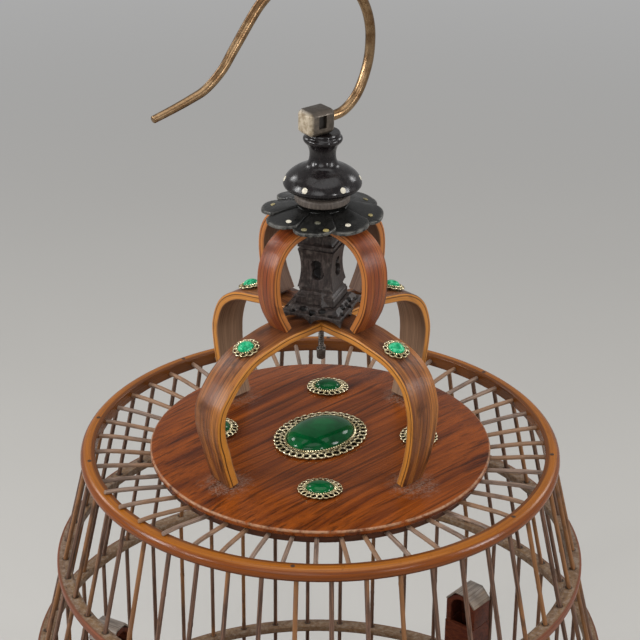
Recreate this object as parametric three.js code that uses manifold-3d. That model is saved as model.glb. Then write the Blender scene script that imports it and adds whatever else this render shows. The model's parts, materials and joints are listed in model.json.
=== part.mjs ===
import * as THREE from 'three';
import { mergeVertices } from 'three/addons/utils/BufferGeometryUtils.js';
import Module from 'manifold-3d';

// A round bamboo songbird cage with a jewelled crown. Millimetres, +Z up, z = 0 on the floor,
// front towards -Y. Azimuths are degrees from the front, positive towards +X.

// Fits
const seatGap = 0.3;
const slideGap = 0.45;
const turnGap = 0.3;

// Bars and spokes
const barCount = 46;
const barRadius = 1.35;
const barSides = 4;
const barTurn = 2.7;
const spokeTurn = -0.9;
const barTipInset = 0.4;

// Wall: radii of the bars' axis, then what stands on what from the floor up
const wallRadius = 156.5;
const shoulderRadius = 142;
const crownRadius = 126.45;
const footHeight = 16;
const baseHeight = 10;
const baseWidth = 15;
const traySlot = 10;
const sillHeight = 14;
const sillWidth = 12;
const doorSillRise = 36.7;
const hoopHeight = 4.5;
const hoopWidth = 8.1;
const doorwayHeight = 93.9;
const shoulderRise = 56.9;
const crownRise = 59.8;
const ringHeight = 7.2;
const ringWidth = 8.1;
const ringEdge = 1.6;
const socketDepth = 5;
const hoopSegments = 48;

// Feet
const footAzimuths = [60, -60, 180];
const footWidth = 46;
const footToeWidth = 20;
const footThickness = 9;

// Tray, its runners and the floor grid
const trayPlay = 5.6;
const trayFloor = 2.6;
const trayRim = 3;
const trayHeight = 8.4;
const pullRadius = 3.6;
const pullLength = 11;
const runnerWidth = 10;
const runnerHeight = 6;
const runnerSpread = 70;
const gridRimWidth = 6;
const gridRimHeight = 5;
const gridPitch = 18;

// Door
const doorBars = 5;
const doorRailHeight = 6;
const doorRailWidth = 5;
const doorSideGap = 1.9;
const doorBarOverrun = 8;
const knobRadius = 4.5;
const knobLength = 4.4;

// Perch
const perchRadius = 5.4;
const perchRise = 25;
const perchGrip = 2.4;
const perchBar = 12;

// Feeders
const feederPlaces = { feeder_left: 30.5, feeder_right: 17.5 }; // in bar pitches from the first bar
const feederDepth = 17;
const feederWidth = 22;
const feederHeight = 34;
const feederWall = 2.4;
const hoodRise = 8;
const hoodSide = 16;
const hookTongueWidth = 8;
const hookTongueHeight = 4;
const hookLipThickness = 2;

// Crown disc and the hub that carries it
const discRadius = 92.7;
const discThickness = 3.6;
const discDome = 2.6;
const discFlatRadius = 76;
const discSink = 0.4;
const hubRadius = 86.5;
const hubWidth = 7;
const hubHeight = 4.7;
const spokeDrop = 4;

// Lower bows: two bent strips half-lapped where they cross
const bowAzimuths = [45, -45];
const bowFootRadius = 68.5;
const bowBulgeRadius = 76.3;
const bowRise = 76;
const bowWidth = 20;
const bowFootWidth = 14.5;
const bowTaperHeight = 46;
const bowThickness = 4.6;

// Upper arches
const archAzimuths = { arch_front_right: 45, arch_back_right: 135, arch_back_left: -135, arch_front_left: -45 };
const archFootRadius = 32;
const archBulgeRadius = 40.6;
const archTipRadius = 13.2;
const archRise = 54.4;
const archWidth = 15.3;
const archThickness = 4.4;

// Post stack, square in plan with a corner at postTurn
const postTurn = 25;
const plateHalfDiagonal = 23.8;
const plateHeight = 8;
const plinthHalfDiagonal = 15.4;
const plinthHeight = 8.6;
const shaftHeight = 21.5;
const shaftHalfDiagonal = 14.2;
const waistHalfDiagonal = 12.4;
const corniceHeight = 11;
const corniceHalfDiagonal = 12;
const eyeRadius = 2.9;
const eyeSpacing = 7.3;
const eyeDepth = 3.4;

// Lotus plate, collar and finial
const petalCount = 8;
const petalTurn = 13;
const lotusRadius = 31.8;
const lotusNotch = 2.6;
const lotusBossRadius = 12.4;
const lotusDroop = 9.4;
const lotusThickness = 3;
const archClearance = 1.2;
const collarRadius = 14.4;
const collarHeight = 4.2;
const finialRadius = 20.4;
const finialHeight = 33;
const neckRadius = 7.1;
const flangeRadius = 9.8;

// Hook block, hook and tie rod
const hookTurn = 128;
const blockLength = 16.4;
const blockWidth = 12.8;
const blockOffset = -4.35;
const blockHeight = 13.2;
const blockEdge = 1.6;
const hookRadius = 2.6;
const hookLoopRadius = 41;
const hookLoopOffset = -11;
const hookLoopRise = 43.6;
const hookRootRise = 6.8;
const hookTailTurn = 142;

// The hook's root, tail and tip as shares of the loop's radius
const hookRootShape = [[0.293, 0.022], [0.427, 0.098], [0.541, 0.22], [0.644, 0.42], [0.712, 0.649]];
const hookTailShape = [0.488, 0.732];
const hookBendShare = 0.878;
const hookTipShape = [[-0.159, -0.078], [-0.366, -0.151], [-0.634, -0.224], [-0.902, -0.288]];
const rodRadius = 1.6;
const rodTail = 51;
const rodSocket = 6;
const nutRadius = 4.2;
const nutHeight = 3.6;
const endNutRadius = 2.6;
const endNutHeight = 6;

// Jewels: full lengths across the settings and stones
const settingHeight = 2;
const centreSetting = [57, 46.6];
const centreStone = [42, 31.4];
const centreTurn = 48;
const centreDome = 8;
const sideSetting = [24, 21];
const sideStone = [14.6, 12.2];
const sideDome = 4.6;
const sideInset = 35.9;
const sidePlaces = { front: [0, 0], right: [90, 3.2], back: [176, 0], left: [-97, 0.8] }; // azimuth, shift inwards
const shoulderSetting = [14.6, 14.6];
const shoulderStone = [8.6, 8.6];
const shoulderDome = 4;
const shoulderPlace = 0.303;

// Heights that follow from the sizes above
const baseTop = footHeight + baseHeight;
const sillLow = baseTop + traySlot;
const sillTop = sillLow + sillHeight;
const hoop4Low = sillTop + doorSillRise;
const hoop4Top = hoop4Low + hoopHeight;
const hoop3Low = hoop4Top + doorwayHeight;
const hoop3Top = hoop3Low + hoopHeight;
const hoop2Low = hoop3Top + shoulderRise;
const hoop2Top = hoop2Low + hoopHeight;
const ringLow = hoop2Top + crownRise;
const ringTop = ringLow + ringHeight;
const discLow = ringTop - discSink - discThickness;
const discTop = ringTop - discSink + discDome;
const hubTop = discLow - seatGap;
const sideRadius = discRadius - sideInset;
const bowFoot = discTop + seatGap;
const bowTop = bowFoot + bowRise;
const archFoot = bowTop + seatGap;
const archTop = archFoot + archRise;
const plateLow = bowTop + seatGap;
const plateTop = plateLow + plateHeight;
const postLow = plateTop + seatGap;
const postTop = postLow + plinthHeight + shaftHeight + corniceHeight;
const lotusLow = postTop + seatGap;
const lotusUnder = archTop + archClearance;
const lotusTop = lotusUnder + lotusThickness + lotusDroop / 2;
const collarLow = lotusTop + seatGap;
const finialLow = collarLow + collarHeight + seatGap;
const finialTop = finialLow + finialHeight;
const blockLow = finialTop + turnGap;
const barPitch = 360 / barCount;
const trayRadius = wallRadius - barRadius - trayPlay;
const hoopMid = hoopHeight / 2;
const knees = [
  [crownRadius, ringLow + ringHeight / 2],
  [shoulderRadius, hoop2Low + hoopMid],
  [wallRadius, hoop3Low + hoopMid],
];

const radians = THREE.MathUtils.degToRad;
const mix = THREE.MathUtils.lerp;

// A feeder hangs between two bars, its flat back against both
const feederBack = wallRadius * Math.cos(radians(barPitch / 2)) - barRadius - seatGap;

// An azimuth from the front as a turn about Z of something made along +X
const facing = (azimuth) => radians(azimuth - 90);

// A closed three.js geometry as a solid: shared vertices merged, collapsed triangles dropped
function solid(geometry) {
  const bare = geometry.clone();
  bare.deleteAttribute('normal');
  bare.deleteAttribute('uv');
  const merged = mergeVertices(bare);
  const corners = merged.index.array;
  const kept = [];
  for (let i = 0; i < corners.length; i += 3) {
    const [a, b, c] = corners.slice(i, i + 3);
    if (a !== b && b !== c && c !== a) kept.push(a, b, c);
  }
  return new wasm.Manifold(new wasm.Mesh({
    numProp: 3,
    vertProperties: merged.attributes.position.array,
    triVerts: Uint32Array.from(kept),
  }));
}

function skin(body) {
  const mesh = body.getMesh();
  const geometry = new THREE.BufferGeometry();
  geometry.setAttribute('position', new THREE.BufferAttribute(mesh.vertProperties, 3));
  geometry.setIndex(new THREE.BufferAttribute(mesh.triVerts, 1));
  geometry.computeVertexNormals();
  return geometry;
}

const cut = (body, ...tools) => skin(tools.reduce((rest, tool) => rest.subtract(solid(tool)), solid(body)));
const join = (body, ...others) => skin(others.reduce((sum, other) => sum.add(solid(other)), solid(body)));
const common = (body, other) => skin(solid(body).intersect(solid(other)));

// A profile of [radius, height] points turned about Z; it starts and ends on the axis or is closed
function turned(profile, segments = hoopSegments) {
  const points = profile.map(([radius, height]) => new THREE.Vector2(radius, height));
  if (profile[0][0] > 0) points.push(points[0].clone());
  return skin(solid(new THREE.LatheGeometry(points, segments).rotateX(Math.PI / 2)));
}

function hoop(middle, width, low, height, segments = hoopSegments) {
  const inner = middle - width / 2;
  const outer = middle + width / 2;
  return turned([[inner, low], [outer, low], [outer, low + height], [inner, low + height]], segments);
}

// A path of given points in the plane of X and Z, swept without twist
class Route extends THREE.Curve {
  constructor(points) {
    super();
    this.points = points;
  }

  place(u) {
    return Math.round(u * (this.points.length - 1));
  }

  getPointAt(u) {
    return this.points[this.place(u)].clone();
  }

  getTangentAt(u) {
    const i = this.place(u);
    const tangent = new THREE.Vector3();
    if (i > 0) tangent.add(this.points[i].clone().sub(this.points[i - 1]).normalize());
    if (i < this.points.length - 1) tangent.add(this.points[i + 1].clone().sub(this.points[i]).normalize());
    return tangent.normalize();
  }

  computeFrenetFrames(segments) {
    const frames = { tangents: [], normals: [], binormals: [] };
    for (let i = 0; i <= segments; i++) {
      const tangent = this.getTangentAt(i / segments);
      const binormal = new THREE.Vector3(0, 1, 0);
      frames.tangents.push(tangent);
      frames.binormals.push(binormal);
      frames.normals.push(binormal.clone().cross(tangent));
    }
    return frames;
  }
}

function swept(shape, points) {
  const settings = { steps: points.length - 1, extrudePath: new Route(points) };
  return skin(solid(new THREE.ExtrudeGeometry(shape, settings)));
}

function roundSection(radius, sides) {
  const corner = (i) => new THREE.Vector2(
    radius * Math.cos((2 * Math.PI * i) / sides),
    radius * Math.sin((2 * Math.PI * i) / sides),
  );
  return new THREE.Shape(Array.from({ length: sides }, (_, i) => corner(i)));
}

// A strip's section: its outer face lies on the path, its thickness is inside
function stripSection(width, thickness) {
  const half = width / 2;
  return new THREE.Shape([[-thickness, -half], [0, -half], [0, half], [-thickness, half]]
    .map(([x, y]) => new THREE.Vector2(x, y)));
}

function box(low, high) {
  const size = high.map((value, i) => value - low[i]);
  const centre = high.map((value, i) => (value + low[i]) / 2);
  return new THREE.BoxGeometry(...size).translate(...centre);
}

// Radius of a bar's axis at a height: straight below hoop 3, leaning in above it
function barAxis(height) {
  const [crown, shoulder, wall] = knees;
  if (height <= wall[1]) return wall[0];
  const [upper, lower] = height <= shoulder[1] ? [shoulder, wall] : [crown, shoulder];
  return mix(lower[0], upper[0], (height - lower[1]) / (upper[1] - lower[1]));
}

function bar(low, high, radius = barRadius) {
  const between = knees.map((knee) => knee[1]).reverse().slice(0, 2);
  const heights = [low, ...between.filter((height) => height > low && height < high), high];
  const points = heights.map((height) => new THREE.Vector3(barAxis(height), 0, height));
  return swept(roundSection(radius, barSides), points);
}

const barAzimuths = Array.from({ length: barCount }, (_, i) => {
  const azimuth = barTurn + i * barPitch;
  return azimuth > 180 ? azimuth - 360 : azimuth;
});

// The doorway takes the bars next to the front, one fewer than the door's own bars
const doorMiddle = barTurn - barPitch / 2;
const doorSpan = (doorBars * barPitch) / 2;
const inDoorway = (azimuth) => Math.abs(azimuth - doorMiddle) < doorSpan - barPitch / 4;
const besideTray = (azimuth) => Math.abs(azimuth) > 90
  || Math.abs(Math.sin(radians(azimuth))) * wallRadius - barRadius > trayRadius + slideGap;

// Drills a hoop for the bars that pass through it, or stop in it
function drilled(blank, azimuths, low, high) {
  const drill = bar(low, high, barRadius + seatGap);
  return cut(blank, ...azimuths.map((azimuth) => drill.clone().rotateZ(facing(azimuth))));
}

function crownRing() {
  const inner = crownRadius - ringWidth / 2;
  const outer = crownRadius + ringWidth / 2;
  const blank = turned([[inner, ringLow], [outer - ringEdge, ringLow], [outer, ringLow + ringEdge],
    [outer, ringTop - ringEdge], [outer - ringEdge, ringTop], [inner, ringTop]]);
  return drilled(blank, barAzimuths, ringLow - hoopHeight, ringTop + hoopHeight);
}

function hoop2() {
  const blank = hoop(shoulderRadius, hoopWidth, hoop2Low, hoopHeight);
  return drilled(blank, barAzimuths, hoop2Low - hoopHeight, hoop2Top + hoopHeight);
}

// Hoop 3 also guides the door's bars, and the short bars above the doorway are glued into it
function hoop3() {
  const blank = hoop(wallRadius, hoopWidth, hoop3Low, hoopHeight);
  const beside = barAzimuths.filter((azimuth) => !inDoorway(azimuth));
  const pierced = drilled(blank, beside, hoop3Low - hoopHeight, hoop3Top + hoopHeight);
  const guide = new THREE.CylinderGeometry(barRadius + slideGap, barRadius + slideGap, 3 * hoopHeight, barSides);
  guide.rotateX(Math.PI / 2).rotateZ(Math.PI / 2).translate(wallRadius, 0, hoop3Low + hoopMid);
  const guided = cut(pierced, ...doorAzimuths().map((azimuth) => guide.clone().rotateZ(facing(azimuth))));
  const short = bar(hoop3Low + hoopMid, ringTop - barTipInset);
  const shorts = barAzimuths.filter(inDoorway).map((azimuth) => short.clone().rotateZ(facing(azimuth)));
  return join(guided, ...shorts);
}

function hoop4() {
  const blank = hoop(wallRadius, hoopWidth, hoop4Low, hoopHeight);
  const beside = barAzimuths.filter((azimuth) => !inDoorway(azimuth));
  const pierced = drilled(blank, beside, hoop4Low - hoopHeight, hoop4Top + hoopHeight);
  return drilled(pierced, barAzimuths.filter(inDoorway), hoop4Low - hoopHeight, hoop4Low + hoopMid + seatGap);
}

// The bars, glued into the sill hoop; those clear of the tray run on down into the base hoop
function wallBars() {
  const sill = hoop(wallRadius, sillWidth, sillLow, sillHeight);
  const bars = barAzimuths.map((azimuth) => {
    const low = besideTray(azimuth) ? baseTop - socketDepth + seatGap : sillLow + sillHeight / 2;
    const high = inDoorway(azimuth) ? hoop4Low + hoopMid : ringTop - barTipInset;
    return bar(low, high).rotateZ(facing(azimuth));
  });
  return join(sill, ...bars);
}

function baseHoop() {
  const blank = hoop(wallRadius, baseWidth, footHeight, baseHeight);
  return drilled(blank, barAzimuths.filter(besideTray), baseTop - socketDepth, baseTop + socketDepth);
}

// A foot with a straight toe and hollowed sides, its thickness along the radius
function foot() {
  const top = footHeight - seatGap;
  const half = footWidth / 2;
  const toe = footToeWidth / 2;
  const outline = new THREE.Shape();
  outline.moveTo(-toe, 0);
  outline.lineTo(toe, 0);
  outline.quadraticCurveTo(toe, top * 0.75, half, top);
  outline.lineTo(-half, top);
  outline.quadraticCurveTo(-toe, top * 0.75, -toe, 0);
  const plate = new THREE.ExtrudeGeometry(outline, { depth: footThickness, bevelEnabled: false, curveSegments: 5 });
  return plate.rotateX(Math.PI / 2).rotateZ(Math.PI / 2).translate(-footThickness / 2, 0, 0);
}

function runner(side) {
  const inner = wallRadius - baseWidth / 2;
  const centre = side * runnerSpread;
  const top = baseTop - slideGap;
  const blank = box([centre - runnerWidth / 2, -inner, top - runnerHeight],
    [centre + runnerWidth / 2, inner, top]);
  return common(blank, turned([[0, 0], [inner - seatGap - 0.4, 0], [inner - seatGap - 0.4, sillLow], [0, sillLow]]));
}

const trayLow = baseTop + seatGap;

function tray() {
  return turned([[0, trayLow], [trayRadius, trayLow], [trayRadius, trayLow + trayHeight],
    [trayRadius - trayRim, trayLow + trayHeight], [trayRadius - trayRim, trayLow + trayFloor], [0, trayLow + trayFloor]]);
}

// A small turned pull or knob, its axis along +X and its seat at the origin
function turnedKnob(radius, length, neck = 0.55) {
  const profile = [[0, 0], [radius * neck, 0], [radius * neck, length * 0.35], [radius, length * 0.6],
    [radius * 0.75, length * 0.95], [0, length]];
  return turned(profile, 8).rotateY(Math.PI / 2);
}

function floorGrid() {
  const outer = wallRadius - sillWidth / 2 - seatGap;
  const low = sillTop - gridRimHeight - barRadius;
  const rim = hoop(outer - gridRimWidth / 2, gridRimWidth, low, gridRimHeight);
  const count = Math.floor((outer - gridRimWidth - gridPitch / 4) / gridPitch);
  const bars = [];
  for (let i = -count; i <= count; i++) {
    const offset = i * gridPitch;
    const reach = Math.sqrt((outer - gridRimWidth / 2) ** 2 - offset ** 2);
    const ends = [-reach, reach].map((x) => new THREE.Vector3(x, 0, low + gridRimHeight / 2));
    bars.push(swept(roundSection(barRadius, barSides), ends).translate(0, offset, 0));
  }
  return join(rim, ...bars);
}

function doorAzimuths() {
  return Array.from({ length: doorBars }, (_, i) => doorMiddle + (i - (doorBars - 1) / 2) * barPitch);
}

function doorPanel() {
  const low = hoop4Top + seatGap;
  const inner = wallRadius - doorRailWidth / 2;
  const outer = wallRadius + doorRailWidth / 2;
  const half = radians(doorSpan - doorSideGap);
  const outline = new THREE.Shape();
  outline.absarc(0, 0, outer, -half, half, false);
  outline.absarc(0, 0, inner, half, -half, true);
  const rail = new THREE.ExtrudeGeometry(outline, { depth: doorRailHeight, bevelEnabled: false, curveSegments: 10 });
  rail.translate(0, 0, low).rotateZ(facing(doorMiddle));
  const ends = [low + doorRailHeight / 2, hoop3Top + doorBarOverrun];
  const rod = swept(roundSection(barRadius, barSides), ends.map((height) => new THREE.Vector3(wallRadius, 0, height)));
  return join(rail, ...doorAzimuths().map((azimuth) => rod.clone().rotateZ(facing(azimuth))));
}

// A round perch across the cage, its forked ends gripping two opposite bars
function perch() {
  const reach = wallRadius + barRadius + perchGrip;
  const rod = swept(roundSection(perchRadius, 8), [-reach, reach].map((x) => new THREE.Vector3(x, 0, 0)));
  const slotStart = wallRadius - barRadius - seatGap;
  const slotHalf = barRadius + seatGap;
  const slots = [1, -1].map((side) => {
    const ends = [side * slotStart, side * (reach + perchGrip)].sort((a, b) => a - b);
    return box([ends[0], -slotHalf, -2 * perchRadius], [ends[1], slotHalf, 2 * perchRadius]);
  });
  return cut(rod, ...slots);
}

// A feeder's cup with the hook that hangs it over hoop 4, made with +X outwards
function feederCup() {
  const low = hoop4Top + seatGap;
  const half = feederWidth / 2;
  const outer = wallRadius + hoopWidth / 2 + seatGap;
  const cup = box([feederBack - feederDepth, -half, low], [feederBack, half, low + feederHeight]);
  const hollow = box([feederBack - feederDepth + feederWall, -half + feederWall, low + feederWall],
    [feederBack - feederWall, half - feederWall, low + feederHeight + feederWall]);
  const tongue = box([feederBack - feederWall / 2, -hookTongueWidth / 2, low],
    [outer + hookLipThickness, hookTongueWidth / 2, low + hookTongueHeight]);
  const lip = box([outer, -hookTongueWidth / 2, hoop4Low + hoopMid],
    [outer + hookLipThickness, hookTongueWidth / 2, low + hookTongueHeight]);
  return join(cut(cup, hollow), tongue, lip);
}

// The hood over the cup: a barrel roof on two low sides, open at the front and back
function feederHood() {
  const low = hoop4Top + 2 * seatGap + feederHeight;
  const half = feederWidth / 2;
  const outline = new THREE.Shape();
  outline.moveTo(half, 0);
  outline.lineTo(half, hoodSide);
  outline.absellipse(0, hoodSide, half, hoodRise, 0, Math.PI, false);
  outline.lineTo(-half, 0);
  outline.lineTo(-half + feederWall, 0);
  outline.lineTo(-half + feederWall, hoodSide);
  outline.absellipse(0, hoodSide, half - feederWall, hoodRise - feederWall, Math.PI, 0, true);
  outline.lineTo(half - feederWall, 0);
  const roof = new THREE.ExtrudeGeometry(outline, { depth: feederDepth, bevelEnabled: false, curveSegments: 8 });
  return skin(solid(roof.rotateX(Math.PI / 2).rotateZ(Math.PI / 2).translate(feederBack - feederDepth, 0, low)));
}

function disc() {
  return turned([[0, discLow], [discRadius - 1, discLow], [discRadius, discLow + 1],
    [discRadius, discLow + discThickness - 1], [discRadius - 1, discLow + discThickness],
    [discFlatRadius, discTop], [0, discTop]]);
}

// The hub hoop under the disc and the spokes that join it to the crown ring
function spokeWheel() {
  const hub = hoop(hubRadius, hubWidth, hubTop - hubHeight, hubHeight);
  const facet = Math.cos(Math.PI / hoopSegments);
  const reach = (crownRadius - ringWidth / 2) * facet - seatGap;
  const ends = [[hubRadius, hubTop - hubHeight / 2], [reach, ringTop - spokeDrop]];
  const points = ends.map(([radius, height]) => new THREE.Vector3(radius, 0, height));
  const spoke = swept(roundSection(barRadius, barSides), points);
  const turns = Array.from({ length: barCount }, (_, i) => spokeTurn + i * barPitch);
  return join(hub, ...turns.map((azimuth) => spoke.clone().rotateZ(facing(azimuth))));
}

// Outer face of a lower bow from foot to crossing, as [radius, height] above its foot
const bowOutline = [[0, 0], [0.66, 0.22], [1, 0.45], [0.97, 0.62], [0.25, 0.81]]
  .map(([out, up]) => [mix(bowFootRadius, bowBulgeRadius, out), up * bowRise])
  .concat([[0.775, 0.925], [0.56, 0.98], [0.42, 1], [0.25, 1], [0, 1]]
    .map(([out, up]) => [out * bowBulgeRadius, up * bowRise]));

function bowCurve() {
  const right = bowOutline.map(([radius, height]) => new THREE.Vector3(radius, 0, bowFoot + height));
  const left = right.slice(0, -1).reverse().map((point) => new THREE.Vector3(-point.x, 0, point.z));
  return new THREE.CatmullRomCurve3([...right, ...left], false, 'centripetal');
}

// One bow, tapered to its feet, halved at the crossing and drilled for the tie rod
function bow(turn, lapsOver) {
  const points = bowCurve().getSpacedPoints(32);
  points.forEach((point) => { point.z = Math.min(point.z, bowTop); });
  points[0].z = bowFoot;
  points[points.length - 1].z = bowFoot;
  const strip = swept(stripSection(bowWidth, bowThickness), points);
  const reach = 2 * bowBulgeRadius;
  const taper = new THREE.Shape([[-bowFootWidth, bowFoot], [bowFootWidth, bowFoot], [bowWidth, bowFoot + bowTaperHeight],
    [bowWidth, bowTop + bowThickness], [-bowWidth, bowTop + bowThickness], [-bowWidth, bowFoot + bowTaperHeight]]
    .map(([width, height]) => new THREE.Vector2(width / 2, height)));
  const envelope = new THREE.ExtrudeGeometry(taper, { depth: reach, bevelEnabled: false });
  envelope.rotateX(Math.PI / 2).rotateZ(Math.PI / 2).translate(-reach / 2, 0, 0);
  const lap = bowTop - bowThickness / 2;
  const half = bowWidth / 2 + seatGap;
  const housing = lapsOver
    ? box([-half, -bowWidth, lap - bowThickness], [half, bowWidth, lap + seatGap / 2])
    : box([-half, -bowWidth, lap - seatGap / 2], [half, bowWidth, lap + bowThickness]);
  return cut(common(strip, envelope), housing, rodHole(bowTop - 2 * bowThickness, bowTop + bowThickness))
    .rotateZ(facing(turn));
}

const boreRadius = (rodRadius + turnGap) / Math.cos(Math.PI / 8);

function rodHole(low, high) {
  return turned([[0, low], [boreRadius, low], [boreRadius, high], [0, high]], 8);
}

// Outer face of an upper arch, as [radius, height] above its foot
const archOutline = [[archFootRadius, 0]]
  .concat([[0.945, 0.24], [1, 0.5], [0.965, 0.7], [0.84, 0.86], [0.66, 0.95], [0.48, 0.985]]
    .map(([out, up]) => [out * archBulgeRadius, up * archRise]))
  .concat([[archTipRadius, archRise]]);

function arch() {
  const knots = archOutline.map(([radius, height]) => new THREE.Vector3(radius, 0, archFoot + height));
  const points = new THREE.CatmullRomCurve3(knots, false, 'centripetal').getSpacedPoints(14);
  return swept(stripSection(archWidth, archThickness), points);
}

// A square piece turned on four sides with a bore for the tie rod
function square(profile) {
  const bore = boreRadius * Math.SQRT2;
  const [low, high] = [profile[0][1], profile[profile.length - 1][1]];
  return turned([[bore, low], ...profile, [bore, high]], 4).rotateZ(facing(postTurn));
}

function basePlate() {
  return square([[plateHalfDiagonal * 0.76, plateLow], [plateHalfDiagonal, plateLow + plateHeight * 0.55],
    [plateHalfDiagonal, plateTop]]);
}

// Stepped plinth, waisted shaft with two round eyes in each face, and stepped cornice
function post() {
  const shaftLow = postLow + plinthHeight;
  const shaftTop = shaftLow + shaftHeight;
  const body = square([[plinthHalfDiagonal, postLow], [plinthHalfDiagonal, postLow + plinthHeight * 0.45],
    [plinthHalfDiagonal * 0.86, postLow + plinthHeight * 0.55], [plinthHalfDiagonal * 0.86, shaftLow - 0.6],
    [shaftHalfDiagonal, shaftLow], [waistHalfDiagonal, shaftLow + shaftHeight * 0.45],
    [shaftHalfDiagonal, shaftTop], [corniceHalfDiagonal, shaftTop + 0.6],
    [corniceHalfDiagonal, shaftTop + corniceHeight * 0.5], [corniceHalfDiagonal * 0.95, postTop]]);
  const face = waistHalfDiagonal / Math.SQRT2;
  const eyes = [];
  for (let side = 0; side < 4; side++) {
    for (const step of [-0.5, 0.5]) {
      const eye = new THREE.CylinderGeometry(eyeRadius, eyeRadius, 2 * eyeDepth, 8).rotateZ(Math.PI / 2);
      eye.translate(face, 0, shaftLow + shaftHeight * 0.49 + step * eyeSpacing);
      eyes.push(eye.rotateZ(facing(postTurn + 45 + 90 * side)));
    }
  }
  return cut(body, ...eyes);
}

// Eight drooping petals round a boss that stands on the post
function lotusPlate() {
  const plate = turned([[boreRadius, lotusLow], [lotusBossRadius, lotusLow], [lotusBossRadius, lotusUnder],
    [lotusRadius * 0.82, lotusUnder], [lotusRadius, lotusUnder - 1], [lotusRadius, lotusUnder + 1.2],
    [lotusRadius * 0.86, lotusUnder + lotusThickness + 0.6], [lotusRadius * 0.5, lotusTop], [boreRadius, lotusTop]],
  3 * petalCount);
  const place = plate.attributes.position;
  for (let i = 0; i < place.count; i++) {
    const radius = Math.hypot(place.getX(i), place.getY(i));
    const angle = Math.atan2(place.getY(i), place.getX(i));
    const notch = Math.abs(Math.cos((petalCount * angle) / 2)) ** 6 * lotusNotch;
    const scale = radius > lotusRadius * 0.9 ? 1 - notch / lotusRadius : 1;
    place.setX(i, place.getX(i) * scale);
    place.setY(i, place.getY(i) * scale);
  }
  return plate.rotateZ(facing(petalTurn));
}

function collar() {
  return turned([[boreRadius, collarLow], [collarRadius, collarLow], [collarRadius, collarLow + collarHeight * 0.75],
    [collarRadius * 0.94, collarLow + collarHeight], [boreRadius, collarLow + collarHeight]], 16);
}

function finial() {
  const at = (share) => finialLow + share * finialHeight;
  return turned([[boreRadius, finialLow], [finialRadius * 0.6, finialLow], [finialRadius * 0.86, at(0.02)],
    [finialRadius * 0.98, at(0.08)], [finialRadius, at(0.15)], [finialRadius * 0.96, at(0.24)],
    [finialRadius * 0.83, at(0.3)], [finialRadius * 0.6, at(0.36)], [neckRadius * 1.2, at(0.42)],
    [neckRadius, at(0.53)], [neckRadius, at(0.66)], [neckRadius * 1.12, at(0.76)],
    [flangeRadius * 0.92, at(0.79)], [flangeRadius, at(0.83)], [flangeRadius * 0.92, at(0.88)],
    [flangeRadius * 0.84, at(0.9)], [flangeRadius * 0.84, finialTop], [boreRadius, finialTop]], 16);
}

function hookBlock() {
  const length = blockLength / 2;
  const width = blockWidth / 2;
  const outline = new THREE.Shape([[-length + blockEdge, -width], [length - blockEdge, -width],
    [length, -width + blockEdge], [length, width - blockEdge], [length - blockEdge, width],
    [-length + blockEdge, width], [-length, width - blockEdge], [-length, -width + blockEdge]]
    .map(([x, y]) => new THREE.Vector2(x, y)));
  const block = new THREE.ExtrudeGeometry(outline, { depth: blockHeight, bevelEnabled: false });
  block.translate(blockOffset, 0, blockLow).rotateZ(facing(hookTurn));
  return cut(block, rodHole(blockLow - 1, blockLow + rodSocket + seatGap));
}

// The hook: out of the block's end, round a near circle, down a straight tail and out to the tip
const blockEnd = blockOffset + blockLength / 2;
const hookOutline = [
  [blockEnd + seatGap, hookRootRise],
  [blockEnd + hookRadius, hookRootRise],
  ...hookRootShape.map(([out, rise]) => [out * hookLoopRadius, hookRootRise + rise * hookLoopRadius]),
];

function hookPoints() {
  const root = hookOutline.map(([out, rise]) => new THREE.Vector3(out, 0, blockLow + rise));
  const centre = new THREE.Vector3(hookLoopOffset, 0, blockLow + hookLoopRise);
  const loop = [];
  for (let turn = 0; turn < hookTailTurn; turn += hookTailTurn / 10) {
    const angle = radians(turn);
    loop.push(centre.clone().add(new THREE.Vector3(Math.cos(angle), 0, Math.sin(angle)).multiplyScalar(hookLoopRadius)));
  }
  const last = radians(hookTailTurn);
  const leave = centre.clone()
    .add(new THREE.Vector3(Math.cos(last), 0, Math.sin(last)).multiplyScalar(hookLoopRadius));
  const along = new THREE.Vector3(-Math.sin(last), 0, Math.cos(last));
  const tail = hookTailShape.map((share) => leave.clone().addScaledVector(along, share * hookLoopRadius));
  const bend = leave.clone().addScaledVector(along, hookBendShare * hookLoopRadius);
  const tip = hookTipShape
    .map(([out, rise]) => bend.clone().addScaledVector(new THREE.Vector3(out, 0, rise), hookLoopRadius));
  return [...root, ...loop, leave, ...tail, ...tip];
}

function hook() {
  return swept(roundSection(hookRadius, 8), hookPoints());
}

function tieRod() {
  const low = ringTop + rodTail;
  return turned([[0, low], [rodRadius, low], [rodRadius, blockLow + rodSocket], [0, blockLow + rodSocket]], 8);
}

function rodNut() {
  const top = bowTop - bowThickness - turnGap;
  const bore = (rodRadius + seatGap) / Math.cos(Math.PI / 6);
  return turned([[bore, top - nutHeight], [nutRadius, top - nutHeight], [nutRadius, top], [bore, top]], 6);
}

function endNut() {
  const low = ringTop + rodTail;
  const bore = (rodRadius + seatGap) / Math.cos(Math.PI / 8);
  return turned([[bore, low], [endNutRadius, low], [endNutRadius, low + endNutHeight], [bore, low + endNutHeight]], 8);
}

// An oval or round filigree setting: a flat band round the stone's seat
function setting([length, width], [stoneLength, stoneWidth], segments) {
  const outline = new THREE.Shape();
  outline.absellipse(0, 0, length / 2, width / 2, 0, 2 * Math.PI, false);
  const seat = new THREE.Path();
  seat.absellipse(0, 0, stoneLength / 2 + seatGap, stoneWidth / 2 + seatGap, 0, 2 * Math.PI, true);
  outline.holes.push(seat);
  const band = new THREE.ExtrudeGeometry(outline, { depth: settingHeight, bevelEnabled: false, curveSegments: segments / 2 });
  return skin(solid(band));
}

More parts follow.
